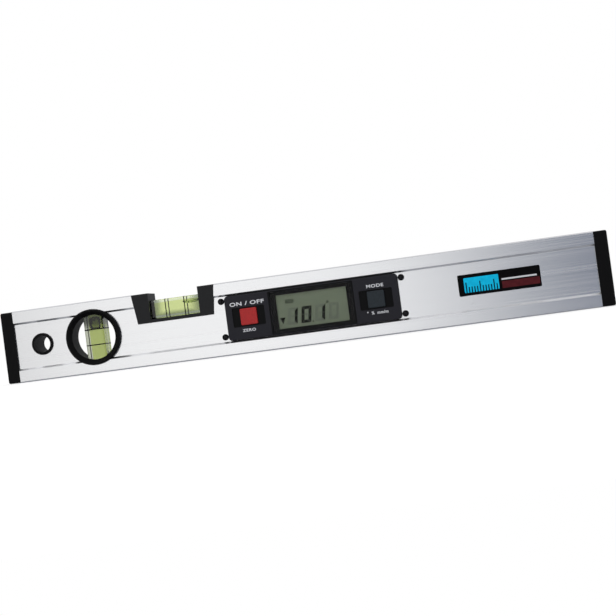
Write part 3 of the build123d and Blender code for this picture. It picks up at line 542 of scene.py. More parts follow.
def rings_mesh(
    name: str, rings: Sequence[list[Vector]], sharp_degrees: float = SHARP_DEGREES, closed: bool = False
) -> Mesh:
    """Skin a row of rings; a ring of one point closes an end.

    Args:
        name: Name of the mesh.
        rings: Points of each ring, with the same count in all but the end points.
        sharp_degrees: Angle from which an edge stays sharp.
        closed: True if the last ring joins the first one.

    Returns:
        The closed mesh.
    """
    form = bmesh.new()
    rows = [[form.verts.new(point) for point in ring] for ring in rings]
    count = max(len(row) for row in rows)
    for one, two in zip(rows, [*rows[1:], rows[0]] if closed else rows[1:]):
        for index in range(count):
            corners = [one[place % len(one)] for place in (index, index + 1)]
            corners += [two[place % len(two)] for place in (index + 1, index)]
            form.faces.new(list(dict.fromkeys(corners)))
    return mesh_from(name, form, sharp_degrees)


def plate(name: str, outlines: Iterable[Outline], rear: float, thickness: float = INK_THICKNESS) -> Mesh:
    """Make flat plates that stand on a face and look to the front.

    Args:
        name: Name of the mesh.
        outlines: Outline of each plate, in X and Z.
        rear: Y of the face.
        thickness: Distance of the plates' front from it.

    Returns:
        One mesh that holds all the plates.
    """
    form = bmesh.new()
    for outline in outlines:
        faces = []
        for y in (rear - thickness, rear):
            faces.append([form.verts.new((x, y, z)) for x, z in outline])
            form.faces.new(faces[-1])
        for index, corner in enumerate(faces[0]):
            after = (index + 1) % len(outline)
            form.faces.new((corner, faces[0][after], faces[1][after], faces[1][index]))
    return mesh_from(name, form)


def frame_plate(
    name: str, outer: Outline, inner: Outline, rear: float, thickness: float = INK_THICKNESS
) -> Mesh:
    """Make a flat frame that stands on a face and looks to the front.

    Args:
        name: Name of the mesh.
        outer: Outer outline, in X and Z.
        inner: Outline of the opening, with the same number of points.
        rear: Y of the face.
        thickness: Distance of the frame's front from it.

    Returns:
        The closed mesh.
    """
    front = rear - thickness
    section = ((outer, front), (inner, front), (inner, rear), (outer, rear))
    loops = [[Vector((x, y, z)) for x, z in outline] for outline, y in section]
    return rings_mesh(name, loops, closed=True)


def add_object(name: str, data: bpy.types.ID) -> bpy.types.Object:
    """Put a mesh, curve, lamp or camera into the scene as an object, and return it."""
    shown = bpy.data.objects.new(name, data)
    bpy.context.scene.collection.objects.link(shown)
    return shown


def evaluated_mesh(host: bpy.types.Object) -> Mesh:
    """Turn an object with its modifiers into a plain mesh of the same name, and remove the object."""
    graph = bpy.context.evaluated_depsgraph_get()
    mesh = bpy.data.meshes.new_from_object(host.evaluated_get(graph))
    mesh.name = host.name
    host.modifiers.clear()
    bpy.data.objects.remove(host)
    return mesh


def grown(name: str, tree: NodeTree, sizes: dict[str, object], points: Sequence[Triple] = ()) -> Mesh:
    """Run a Geometry Nodes tree on a base of loose points.

    Args:
        name: Name of the mesh.
        tree: Tree that makes the shape.
        sizes: Value of each named input.
        points: Points of the base, where the tree starts from some.

    Returns:
        The result as a plain mesh.
    """
    base = bpy.data.meshes.new(f"{name} base")
    base.from_pydata(points, [], [])
    host = add_object(name, base)
    modifier = host.modifiers.new(tree.name, "NODES")
    modifier.node_group = tree
    for item in tree.interface.items_tree:
        if item.in_out == "INPUT" and item.name in sizes:
            modifier[item.identifier] = sizes[item.name]
    return evaluated_mesh(host)


def new_tree(name: str, inputs: dict[str, Sequence[str]]) -> tuple[NodeTree, dict[str, NodeSocket]]:
    """Start a Geometry Nodes tree.

    Args:
        name: Name of the tree.
        inputs: Labels of its inputs, by their kind of socket.

    Returns:
        The tree, and the output sockets of its inputs by label.
    """
    tree = bpy.data.node_groups.new(name, "GeometryNodeTree")
    for kind, labels in {"Geometry": ("Geometry",), **inputs}.items():
        for label in labels:
            tree.interface.new_socket(label, in_out="INPUT", socket_type=f"NodeSocket{kind}")
    tree.interface.new_socket("Geometry", in_out="OUTPUT", socket_type="NodeSocketGeometry")
    start = add_node(tree, "NodeGroupInput")
    return tree, {socket.name: socket for socket in start.outputs if socket.name}


def end_tree(tree: NodeTree, instances: Node, finish: NodeSocket) -> NodeTree:
    """Close a tree: realise its instances and give them their material.

    Args:
        tree: Tree to close.
        instances: Node that makes the instances.
        finish: Material input.

    Returns:
        The tree.
    """
    real = add_node(tree, "GeometryNodeRealizeInstances", {0: instances})
    dressed = add_node(tree, "GeometryNodeSetMaterial", {"Geometry": real, "Material": finish})
    add_node(tree, "NodeGroupOutput", {0: dressed})
    return tree


def screw_tree(rim_share: float = 0.55, around: int = 40, seed: int = 4) -> NodeTree:
    """Build pan-head screws with a cross recess, one on each point of the base mesh.

    Args:
        rim_share: Share of the head's height that its straight rim takes.
        around: Points round a head.
        seed: Seed of the recesses' turns.

    Returns:
        The tree.
    """
    sizes = ("Head Radius", "Head Height", "Recess Length", "Recess Width", "Recess Depth")
    tree, given = new_tree("Pan-head screws", {"Float": sizes, "Material": ("Finish",)})
    add = partial(add_node, tree)
    radius, height, length, width, depth = (given[label] for label in sizes)
    rim = add("ShaderNodeMath", {0: height, 1: rim_share}, operation="MULTIPLY")
    drum = add("GeometryNodeMeshCylinder", {"Vertices": around, "Radius": radius, "Depth": rim})
    half = add("ShaderNodeMath", {0: rim, 1: 0.5}, operation="MULTIPLY")
    lift = add("ShaderNodeCombineXYZ", {"Z": half})
    stood = add("GeometryNodeTransform", {"Geometry": drum, "Translation": lift})
    ball = add("GeometryNodeMeshUVSphere", {"Segments": around, "Rings": around // 2, "Radius": 1.0})
    crown = add("ShaderNodeMath", {0: height, 1: rim}, operation="SUBTRACT")
    flat = add("ShaderNodeCombineXYZ", {"X": radius, "Y": radius, "Z": crown})
    top = add("ShaderNodeCombineXYZ", {"Z": rim})
    dome = add("GeometryNodeTransform", {"Geometry": ball, "Translation": top, "Scale": flat})
    head = add("GeometryNodeMeshBoolean", {"Mesh 2": [stood, dome]}, operation="UNION")
    deep = add("ShaderNodeMath", {0: depth, 1: 2.0}, operation="MULTIPLY")
    tip = add("ShaderNodeCombineXYZ", {"Z": height})
    bars = []
    for long, wide in ((length, width), (width, length)):
        size = add("ShaderNodeCombineXYZ", {"X": long, "Y": wide, "Z": deep})
        block = add("GeometryNodeMeshCube", {"Size": size})
        bars.append(add("GeometryNodeTransform", {"Geometry": block, "Translation": tip}))
    cut = add("GeometryNodeMeshBoolean", {"Mesh 1": head, "Mesh 2": bars}, operation="DIFFERENCE")
    # Input 3 and output 1 are the largest value and the result of a random number.
    turns = add("FunctionNodeRandomValue", {3: math.pi / 2, "Seed": seed}, data_type="FLOAT")
    to_front = add("ShaderNodeCombineXYZ", {"X": math.pi / 2, "Y": turns.outputs[1]})
    seats = {"Points": given["Geometry"], "Instance": cut, "Rotation": to_front}
    return end_tree(tree, add("GeometryNodeInstanceOnPoints", seats), given["Finish"])


def tick_tree() -> NodeTree:
    """Build a row of upright tick marks, with a longer one at each start of a group."""
    sizes = ("Pitch", "Width", "Height", "Thickness", "Short Share")
    inputs = {"Int": ("Count", "Group"), "Float": sizes, "Vector": ("Start",), "Material": ("Finish",)}
    tree, given = new_tree("Tick marks", inputs)
    add = partial(add_node, tree)
    pitch, width, height, thickness, short_share = (given[label] for label in sizes)
    step = add("ShaderNodeCombineXYZ", {"X": pitch})
    row = {"Count": given["Count"], "Start Location": given["Start"], "Offset": step}
    line = add("GeometryNodeMeshLine", row)
    size = add("ShaderNodeCombineXYZ", {"X": width, "Y": thickness, "Z": height})
    block = add("GeometryNodeMeshCube", {"Size": size})
    half = add("ShaderNodeMath", {0: height, 1: 0.5}, operation="MULTIPLY")
    lift = add("ShaderNodeCombineXYZ", {"Z": half})
    stood = add("GeometryNodeTransform", {"Geometry": block, "Translation": lift})
    index = add("GeometryNodeInputIndex")
    place = add("ShaderNodeMath", {0: index, 1: given["Group"]}, operation="MODULO")
    short = add("ShaderNodeMath", {0: place, 1: 0.5}, operation="GREATER_THAN")
    tall = add("ShaderNodeMapRange", {"Value": short, "To Min": 1.0, "To Max": short_share})
    scale = add("ShaderNodeCombineXYZ", {"X": 1.0, "Y": 1.0, "Z": tall})
    seats = {"Points": line, "Instance": stood, "Scale": scale}
    return end_tree(tree, add("GeometryNodeInstanceOnPoints", seats), given["Finish"])


def add_piece(
    mesh: Mesh, finish: Finish, body: Body = Body.LEVEL, stands_for: Sequence[str] = ()
) -> None:
    """Put a finished mesh into the scene as a piece of the level, under the mesh's name.

    Args:
        mesh: Mesh with its place in its points.
        finish: Material of the whole piece.
        body: Body that it moves with.
        stands_for: CAD nodes that it is shown in place of.
    """
    finish.put_on(mesh)
    piece = add_object(mesh.name, mesh)
    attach(piece, body.value)
    if stands_for:
        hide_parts(*stands_for)
    LOG.info("%s: %d faces on %s", piece.name, len(mesh.polygons), body.value)


@dataclass
class SubAssembly:
    """Part of the level that is built and dressed as one.

    Attributes:
        nodes: Objects of the CAD nodes by name.
    """

    nodes: dict[str, bpy.types.Object]

    def paint(self, finish: Finish, *names: str) -> None:
        """Give CAD nodes a finish.

        Args:
            finish: Material of the nodes.
            *names: Names of the nodes.
        """
        for name in names:
            finish.put_on(self.nodes[name].data)
            LOG.info("%s: %s", name, finish.name)

    def build(self) -> None:
        """Build the pieces that are made here and dress the CAD nodes."""
        raise NotImplementedError


@dataclass
class Profile(SubAssembly):
    """Aluminium box profile with its end caps and hanging-hole bush."""

    def build(self) -> None:
        """Dress the metal and its plastic fittings."""
        self.paint(ALUMINIUM, "profile_body")
        self.paint(MATT_ABS, "end_cap_left", "end_cap_right", "hang_bush_front", "hang_bush_rear")


@dataclass
class Vial(SubAssembly):
    """Clear vial with tinted liquid and a bubble.

    Attributes:
        prefix: Start of the vial's node names.
        mount: Finish of the nodes that hold the vial.
        bluntness: Power that shapes the bubble's ends; 2 gives an ellipse, and more gives blunter ends.
        bubble_size: Width and height of a bubble that lies along the top; None if it fills the bore.
        swell: Extra radius of the liquid in the middle of the vial.
        gap: Least distance between the bubble and the liquid's wall.
    """

    prefix: str
    axis: Axis
    bubble_body: Body
    shell: ClearSolid
    liquid: ClearSolid
    air: Bubble
    mount: Finish
    mount_nodes: tuple[str, ...]
    bluntness: float
    bubble_size: Point | None = None
    edge_radius: float = 1.2 * MM
    edge_steps: int = 10
    end_chamfer: float = 0.4 * MM
    swell: float = 0.25 * MM
    gap: float = 0.15 * MM
    liquid_rings: int = 24
    liquid_points: int = 72
    bubble_rings: int = 28
    bubble_points: int = 40

    def node(self, part: str) -> str:
        """Return the name of one of the vial's nodes or pieces."""
        return f"{self.prefix}_vial_{part}"

    @property
    def middle(self) -> Vector:
        """Middle of the acrylic block."""
        return middle_of(self.node("body"))

    def span(self, part: str) -> Point:
        """Return half the length of a node along the vial and half its width."""
        low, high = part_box(self.node(part))
        half = (high - low) / 2
        return half[self.axis.value], half.y

    def set_in(self, mesh: Mesh, middle: Vector) -> Mesh:
        """Turn a mesh from X to the vial's direction, move it to a middle and return it."""
        mesh.transform(Matrix.Translation(middle) @ self.axis.turn())
        return mesh

    def build_shell(self) -> None:
        """Build the acrylic block, which stands for the CAD body and its plug."""
        half, across = self.span("body")
        inner, edge = half - self.end_chamfer, across - self.end_chamfer
        rings = [[Vector((-half, 0.0, 0.0))]]
        for along, wide in ((-half, edge), (-inner, across), (inner, across), (half, edge)):
            outline = rounded_rectangle((-wide, -wide), (wide, wide), self.edge_radius, self.edge_steps)
            rings.append([Vector((along, y, z)) for y, z in outline])
        rings.append([Vector((half, 0.0, 0.0))])
        mesh = rings_mesh(self.node("shell"), rings, FLAT_DEGREES)
        stands_for = (self.node("body"), self.node("plug"))
        add_piece(self.set_in(mesh, self.middle), self.shell, stands_for=stands_for)

    def build_filling(self) -> None:
        """Build the barrel-shaped liquid, which swells a little in the middle."""
        half, radius = self.span("liquid")
        turns = [2 * math.pi * turn / self.liquid_points for turn in range(self.liquid_points)]
        rings = [[Vector((-half, 0.0, 0.0))]]
        for step in range(self.liquid_rings + 1):
            place = 2 * step / self.liquid_rings - 1
            wide = radius - self.swell * place**2
            rings.append([Vector((half * place, wide * math.cos(t), wide * math.sin(t))) for t in turns])
        rings.append([Vector((half, 0.0, 0.0))])
        mesh = self.set_in(rings_mesh(self.node("filling"), rings), self.middle)
        add_piece(mesh, self.liquid, stands_for=(self.node("liquid"),))

    def build_air(self) -> None:
        """Build the bubble; one that lies along the top bends with the liquid's curved top."""
        half = self.span("bubble")[0]
        room = self.span("liquid")[1] - self.swell - self.gap
        width, height = self.bubble_size or (2 * room, 2 * room)
        bend = 1 / (2 * room) if self.bubble_size else 0.0
        rings = []
        for step in range(self.bubble_rings + 1):
            place = math.sin(math.pi * (step / self.bubble_rings - 0.5))
            share = max(0.0, 1 - abs(place) ** self.bluntness) ** (1 / self.bluntness)
            ring = []
            for turn in range(self.bubble_points if share else 1):
                angle = 2 * math.pi * turn / self.bubble_points
                across = width / 2 * share * math.cos(angle)
                drop = height / 2 * (1 - share * math.sin(angle)) + bend * across**2
                ring.append(Vector((half * place, across, room - drop)))
            rings.append(ring)
        middle = middle_of(self.node("bubble"))
        if self.bubble_size:
            middle.z = self.middle.z
        mesh = self.set_in(rings_mesh(self.node("air"), rings), middle)
        add_piece(mesh, self.air, self.bubble_body, (self.node("bubble"),))

    def build(self) -> None:
        """Build the clear pieces, and dress the marker lines and what holds the vial."""
        self.build_shell()
        self.build_filling()
        self.build_air()
        self.paint(BLACK_INK_AND_SHADE, self.node("lines"))
        self.paint(self.mount, *self.mount_nodes)


@dataclass
class LevelVial(Vial):
    """Vial in the top edge, whose bubble lies along the top of the liquid."""

    prefix: str = "level"
    axis: Axis = Axis.ALONG
    bubble_body: Body = Body.LEVEL_BUBBLE
    shell: ClearSolid = LEVEL_ACRYLIC
    liquid: ClearSolid = PALE_LIQUID
    air: Bubble = PALE_AIR
    mount: Finish = BLACK_ABS
    mount_nodes: tuple[str, ...] = ("level_vial_holder", "level_vial_retainer")
    bluntness: float = 2.4
    bubble_size: Point | None = (7.6 * MM, 3.0 * MM)


@dataclass
class PlumbVial(Vial):
    """Upright vial in its ring, whose bubble fills the upper end of the liquid."""

    prefix: str = "plumb"
    axis: Axis = Axis.UPRIGHT
    bubble_body: Body = Body.PLUMB_BUBBLE
    shell: ClearSolid = PLUMB_ACRYLIC
    liquid: ClearSolid = DEEP_LIQUID
    air: Bubble = DEEP_AIR
    mount: Finish = MATT_ABS
    mount_nodes: tuple[str, ...] = ("plumb_ring_front", "plumb_ring_rear")
    bluntness: float = 3.4


@dataclass
class Lcd(SubAssembly):
    """LCD with its seven-segment figures and its marks; places and sizes of marks are millimetres.

    Attributes:
        middle: X of the display module's middle, from which the X of each place is counted.
        shown: Segments that are lit in each figure, lettered a to g in the usual way.
        point_after: Number of the figure that the decimal point follows, from 0.
        first: Place of the first figure's lower left corner.
        pitch: Distance from one cell to the next.
        gap: Space between segments.
        slant: Lean of the figures to the right, in degrees.
        tilt_corners: Corners of the tilt arrow, about its place.
        cell_parts: Lowest and highest corner of the cell mark's case and tip, and their rounding.
        degree_radii: Outer and inner radius of the degree mark.
    """

    middle: float
    shown: tuple[str, ...] = ("bc", "abcdef", "bc", "")
    point_after: int = 1
    first: Point = (-21.85 * MM, 18.6 * MM)
    width: float = 8.2 * MM
    height: float = 13.4 * MM
    pitch: float = 11.3 * MM
    bar: float = 2.5 * MM
    gap: float = 0.24 * MM
    point_size: float = 1.1 * MM
    slant: float = 8.0
    tilt_place: Point = (-25.2, 22.6)
    tilt_corners: tuple[Point, ...] = ((-2.3, 2.4), (0.0, -2.8), (2.3, 2.4))
    cell_place: Point = (-17.9, 37.6)
    cell_parts: tuple[tuple[Point, Point, float], ...] = (
        ((-3.9, -1.7), (3.0, 1.7), 0.3),
        ((3.2, -0.8), (4.1, 0.8), 0.2),
    )
    degree_place: Point = (12.7, 33.2)
    degree_radii: Point = (1.0, 0.4)

    def lean(self, x: float, z: float) -> Point:
        """Return a point of a figure, leant to the right and put in its place."""
        left, foot = self.first
        return self.middle + left + x + z * math.tan(math.radians(self.slant)), foot + z

    def segment(self, cell: int, letter: str) -> Outline:
        """Return the mitred outline of one segment.

        Args:
            cell: Number of the figure, from 0.
            letter: Letter of the segment.

        Returns:
            Its corners.
        """
        wide, high, half, inset = self.width / 2, self.height / 2, self.bar / 2, self.gap / 2
        inner = wide - self.bar
        side, rise = 1, 1
        if letter == "g":
            points = [(inner - inset, 0.0), (inner - half, half), (half - inner, half)]
            points += [(-u, -v) for u, v in points]
        elif letter in "ad":
            rise = 1 if letter == "a" else -1
            points = [(inset - wide, high), (wide - inset, high)]
            points += [(inner - inset, high - self.bar), (inset - inner, high - self.bar)]
        else:
            side = 1 if letter in "bc" else -1
            rise = 1 if letter in "bf" else -1
            points = [(wide, high - inset), (inner, high - self.bar - inset), (inner, inset), (wide, inset)]
        middle = cell * self.pitch + wide
        return [self.lean(middle + side * u, high + rise * v) for u, v in points]

    def decimal_point(self) -> Outline:
        """Return the outline of the decimal point, half way to the next cell."""
        x = self.point_after * self.pitch + (self.pitch + self.width) / 2
        half = self.point_size / 2
        return [self.lean(*corner) for corner in rectangle((x - half, 0.0), (x + half, self.point_size))]

    def set_at(self, place: Point, corners: Iterable[Point]) -> Outline:
        """Return corners about a place on the LCD, turned from millimetres to metres."""
        return [(self.middle + (place[0] + u) * MM, (place[1] + v) * MM) for u, v in corners]

    def build(self) -> None:
        """Build the reading, the faint segments at rest and the marks."""
        self.paint(LCD_CELL, "lcd_glass")
        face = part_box("lcd_glass")[0].y
        lit, resting = [], []
        for cell, shown in enumerate(self.shown):
            for letter in "abcdefg":
                target = lit if letter in shown else resting
                target.append(self.segment(cell, letter))
        lit.append(self.decimal_point())
        add_piece(plate("lcd_reading", lit, face), LCD_INK)
        mesh = plate("lcd_resting_segments", resting, face, INK_THICKNESS / 2)
        add_piece(mesh, LCD_GHOST)
        arrow = self.set_at(self.tilt_place, self.tilt_corners)
        add_piece(plate("lcd_tilt_arrow", [arrow], face), LCD_INK)
        parts = []
        for low, high, rounding in self.cell_parts:
            parts.append(rounded_rectangle(*self.set_at(self.cell_place, (low, high)), rounding * MM))
        add_piece(plate("lcd_cell_mark", parts, face), LCD_FAINT)
        rings = []
        for radius in self.degree_radii:
            corners = self.set_at(self.degree_place, ((-radius, -radius), (radius, radius)))
            rings.append(rounded_rectangle(*corners, radius * MM))
        add_piece(frame_plate("lcd_degree_mark", *rings, face), LCD_INK)


@dataclass(frozen=True)
class Words:
    """Plain words printed by a key; sizes are millimetres.

    Attributes:
        key: Node of the key.
        shift: Distance of its middle to the right of the key's middle.
        level: Z of its middle.
        spacing: Share of the usual space from letter to letter.
        boldness: Extra width of the strokes on each side, as a share of the height.
    """

    name: str
    text: str
    key: str
    width: float
    height: float
    shift: float
    level: float
    spacing: float = 1.1
    boldness: float = 0.028

    def mesh(self, face: float) -> Mesh:
        """Return the print, which stands proud of a face by the ink's thickness.

        Args:
            face: Y of the face.

        Returns:
            The mesh in its place.
        """
        curve = bpy.data.curves.new(self.name, "FONT")
        curve.body = self.text
        curve.size = self.height * MM
        curve.space_character = self.spacing
        curve.offset = self.boldness * self.height * MM
        curve.extrude = INK_THICKNESS
        mesh = evaluated_mesh(add_object(self.name, curve))
        low, high = (Vector(pick(p.co[i] for p in mesh.vertices) for i in range(3)) for pick in (min, max))
        size = high - low
        fit = Matrix.Diagonal((self.width * MM / size.x, self.height * MM / size.y, 1.0, 1.0))
        to_middle = Matrix.Translation(-(low + high) / 2)
        place = Vector((middle_of(self.key).x + self.shift * MM, face, self.level * MM))
        mesh.transform(Matrix.Translation(place) @ Matrix.Rotation(math.pi / 2, 4, "X") @ fit @ to_middle)
        return mesh


@dataclass
class Display(SubAssembly):
    """Display module: gasket, bezel, window, LCD, keys, words and screws.

    Attributes:
        view: Lowest and highest corner of the LCD's clear view; X is from the module's middle.
        mask_thickness: Thickness of the window's border and of the pockets' linings.
        mask_margin: Distance of the border, and of the frame round it, from the window's edge.
        surround_width: Reach of the frame beyond the window's ends.
        surround_rounds: Radius of the frame's outer and inner corners.
        bezel_edge: Distance of the frame from the bezel's long edges.
        lip: Distance from the bezel to the inner and outer side of the gasket's lip.
        well: Length and height of the pocket round a key, in the bezel.
        key_hole: Length and height of the key's hole in the pocket's floor.
        recess: Length and width of a screw's cross in radii, and its depth in heights.
    """

    words: tuple[Words, ...] = (
        Words("power_words", "ON / OFF", "power_key", 28.5, 3.2, -0.4, 40.9),
        Words("zero_words", "ZERO", "power_key", 11.0, 2.4, -1.0, 18.9),
        Words("mode_words", "MODE", "mode_key", 13.8, 2.7, 0.3, 40.8),
        Words("unit_words", "°  %  mm/m", "mode_key", 17.0, 2.7, 0.0, 19.3),
    )
    view: tuple[Point, Point] = ((-28.7 * MM, 16.1 * MM), (29.0 * MM, 43.6 * MM))
    view_round: float = 0.4 * MM
    mask_thickness: float = 0.04 * MM
    mask_margin: float = 0.2 * MM
    mask_round: float = 1.3 * MM
    surround_width: float = 1.4 * MM
    surround_rounds: Point = (0.8 * MM, 1.6 * MM)
    bezel_edge: float = 0.7 * MM
    bezel_round: float = 3.0 * MM
    lip: Point = (0.02 * MM, 0.28 * MM)
    lip_height: float = 0.7 * MM
    well: Point = (26.9 * MM, 15.8 * MM)
    well_depth: float = 1.0 * MM
    well_round: float = 0.9 * MM
    key_hole: Point = (14.3 * MM, 13.9 * MM)
    screw_radius: float = 2.6 * MM
    screw_height: float = 1.3 * MM
    recess: tuple[float, float, float] = (1.25, 0.3, 0.6)

    @property
    def face(self) -> float:
        """Y of the bezel's front face."""
        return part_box("module_bezel")[0].y

    @property
    def middle(self) -> float:
        """X of the module's middle."""
        return middle_of("module_bezel").x

    def dress(self) -> None:
        """Give the module's CAD nodes their finishes."""
        self.paint(BEZEL_ABS, "module_bezel")
        self.paint(RUBBER, "module_gasket", "zebra_strips")
        self.paint(PANE, "display_window")
        self.paint(RED_ABS, "power_key")
        self.paint(KEY_ABS, "mode_key")
        self.paint(BOARD, "main_board")
        self.paint(BLACK_ABS, "controller_chip", "power_switch_base", "mode_switch_base")
        self.paint(WHITE_ABS, "lcd_spacer", "power_switch_plunger", "mode_switch_plunger")
        self.paint(BRIGHT_CAN, "tilt_sensor", "board_capacitors")
        self.paint(BLACK_STEEL, "board_screws")

    def build_lip(self) -> None:
        """Build the lip of the gasket, which fills the gap round the bezel."""
        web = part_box("module_gasket")[1].y
        loops = []
        for reach in self.lip:
            loops.append(rounded_rectangle(*face_of("module_bezel", -reach), self.bezel_round + reach))
        inner, outer = loops
        mesh = frame_plate("module_gasket_lip", outer, inner, web, self.lip_height)
        add_piece(mesh, RUBBER)

    def build_mask(self) -> None:
        """Build the black border printed on the rear of the window."""
        outer = rounded_rectangle(*face_of("display_window", self.mask_margin), self.mask_round)
        inner = rounded_rectangle(*((self.middle + x, z) for x, z in self.view), self.view_round)
        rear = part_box("display_window")[1].y - self.mask_thickness
        mesh = frame_plate("display_mask", outer, inner, rear, self.mask_thickness)
        add_piece(mesh, BLACK_INK_AND_SHADE)

    def build_surround(self) -> None:
        """Build the black frame printed round the window."""
        (left, _), (right, _) = face_of("display_window", -self.surround_width)
        (_, foot), (_, top) = face_of("module_bezel", self.bezel_edge)
        outer = rounded_rectangle((left, foot), (right, top), self.surround_rounds[0])
        inner = rounded_rectangle(*face_of("display_window", -self.mask_margin), self.surround_rounds[1])
        add_piece(frame_plate("display_surround", outer, inner, self.face), BLACK_INK_AND_SHADE)

    def build_well_shade(self, key: str) -> None:
        """Build the painted shade on the floor of the pocket round a key: a black sheet where shade falls.

        Args:
            key: Node of the key.
        """
        floor, centre = self.face + self.well_depth, middle_of(key)
        loops = []
        for size in (self.well, self.key_hole):
            wide, high = (length / 2 - self.mask_thickness for length in size)
            low_corner, high_corner = (centre.x - wide, centre.z - high), (centre.x + wide, centre.z + high)
            loops.append(rounded_rectangle(low_corner, high_corner, self.well_round))
        # Painted shade: a black sheet on the pocket's floor, where shade falls.
        mesh = frame_plate(f"{key}_well", *loops, floor, self.mask_thickness)
        add_piece(mesh, BLACK_INK_AND_SHADE)

    def build_screws(self) -> None:
        """Build the four screws beside the module in place of the CAD screws."""
        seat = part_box("module_screws")[0].y + self.screw_height
        (left, foot), (right, top) = face_of("module_screws", self.screw_radius)
        length, width, depth = self.recess
        sizes = {
            "Head Radius": self.screw_radius,
            "Head Height": self.screw_height,
            "Recess Length": length * self.screw_radius,
            "Recess Width": width * self.screw_radius,
            "Recess Depth": depth * self.screw_height,
            "Finish": BLACK_STEEL.material(),
        }
        points = [(x, seat, z) for x in (left, right) for z in (foot, top)]
        mesh = shade(grown("module_screw_heads", screw_tree(), sizes, points))
        add_piece(mesh, BLACK_STEEL, stands_for=("module_screws",))

    def build(self) -> None:
        """Build and dress the whole module."""
        self.dress()
        self.build_lip()
        self.build_mask()
        self.build_surround()
        Lcd(self.nodes, self.middle).build()
        for words in self.words:
            add_piece(words.mesh(self.face), PALE_INK)
        # Painted shade in the pockets round the keys.
        for key in ("power_key", "mode_key"):
            self.build_well_shade(key)
        self.build_screws()


@dataclass
class BatteryBay(SubAssembly):
    """Battery bay on the rear: housing, cells, contacts, frame and sliding door.

    Attributes:
        band: Length of the bright band on a cell's sleeve.
        arrow: Half the length, half the height and half the shaft's height of the door's arrow.
        arrow_shift: Distance of the arrow from the door's middle, away from the grip.
        tongue: Height of the door's tongue, which the frame hides.
        grip_margin: Distance from the last groove to the door's end.
        groove: Width and depth of a groove.
        groove_shade: Thickness of the painted shade in a groove, and its distance from the groove's sides.
    """

    band: float = 11.0 * MM
    arrow: tuple[float, float, float] = (7.0 * MM, 4.4 * MM, 1.6 * MM)
    arrow_shift: float = 6.0 * MM
    tongue: float = 1.0 * MM
    grip_count: int = 5
    grip_pitch: float = 2.2 * MM
    grip_margin: float = 4.2 * MM
    groove: Point = (1.0 * MM, 0.4 * MM)
    groove_shade: float = 0.04 * MM

    def dress(self) -> None:
        """Give the bay's CAD nodes their finishes."""
        self.paint(BEZEL_ABS, "module_housing", "battery_frame")
        self.paint(PLATED_BRASS, "battery_contact_positive", "battery_contact_negative", "battery_link")
        self.paint(DOOR_ABS, "battery_door")
        self.paint(BLACK_STEEL, "battery_frame_screws")
        for cell, right in (("battery_cell_upper", True), ("battery_cell_lower", False)):
            low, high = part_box(cell)
            split = high.x - self.band if right else low.x + self.band
            self.paint(CellSleeve(f"{cell} sleeve", split, right), cell)

    def build_arrow(self) -> None:
        """Print the arrow that shows which way the door slides."""
        middle, face = middle_of("battery_door"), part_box("battery_door")[1].y
        x, z = middle.x - self.arrow_shift, middle.z
        long, tall, shaft = self.arrow
        side = [(-long, shaft), (0.0, shaft), (0.0, tall)]
        points = [*side, (long, 0.0), *((u, -v) for u, v in reversed(side))]
        mesh = plate("door_arrow", [[(x + u, z + v) for u, v in points]], face + INK_THICKNESS)
        add_piece(mesh, PALE_INK, Body.DOOR)

    def build_grip_shade(self) -> None:
        """Paint shade into the grooves of the door's grip, as thin black sheets on their floors."""
        low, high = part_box("battery_door")
        width, depth = self.groove
        tall = (high.z - low.z) / 2 - self.tongue
        start = high.x - self.grip_margin - (self.grip_count - 1) * self.grip_pitch
        sizes = {
            "Count": self.grip_count,
            "Group": 1,
            "Pitch": self.grip_pitch,
            "Width": width - 2 * self.groove_shade,
            "Height": tall - 2 * self.groove_shade,
            "Thickness": self.groove_shade,
            "Short Share": 1.0,
            "Start": (start, high.y - depth, (low.z + high.z - tall) / 2 + self.groove_shade),
            "Finish": BLACK_INK_AND_SHADE.material(),
        }
        # Painted shade: thin black sheets on the groove floors.
        add_piece(grown("door_grip_lining", tick_tree(), sizes), BLACK_INK_AND_SHADE, Body.DOOR)

    def build(self) -> None:
        """Dress the bay and finish its door."""
        self.dress()
        self.build_arrow()
        self.build_grip_shade()


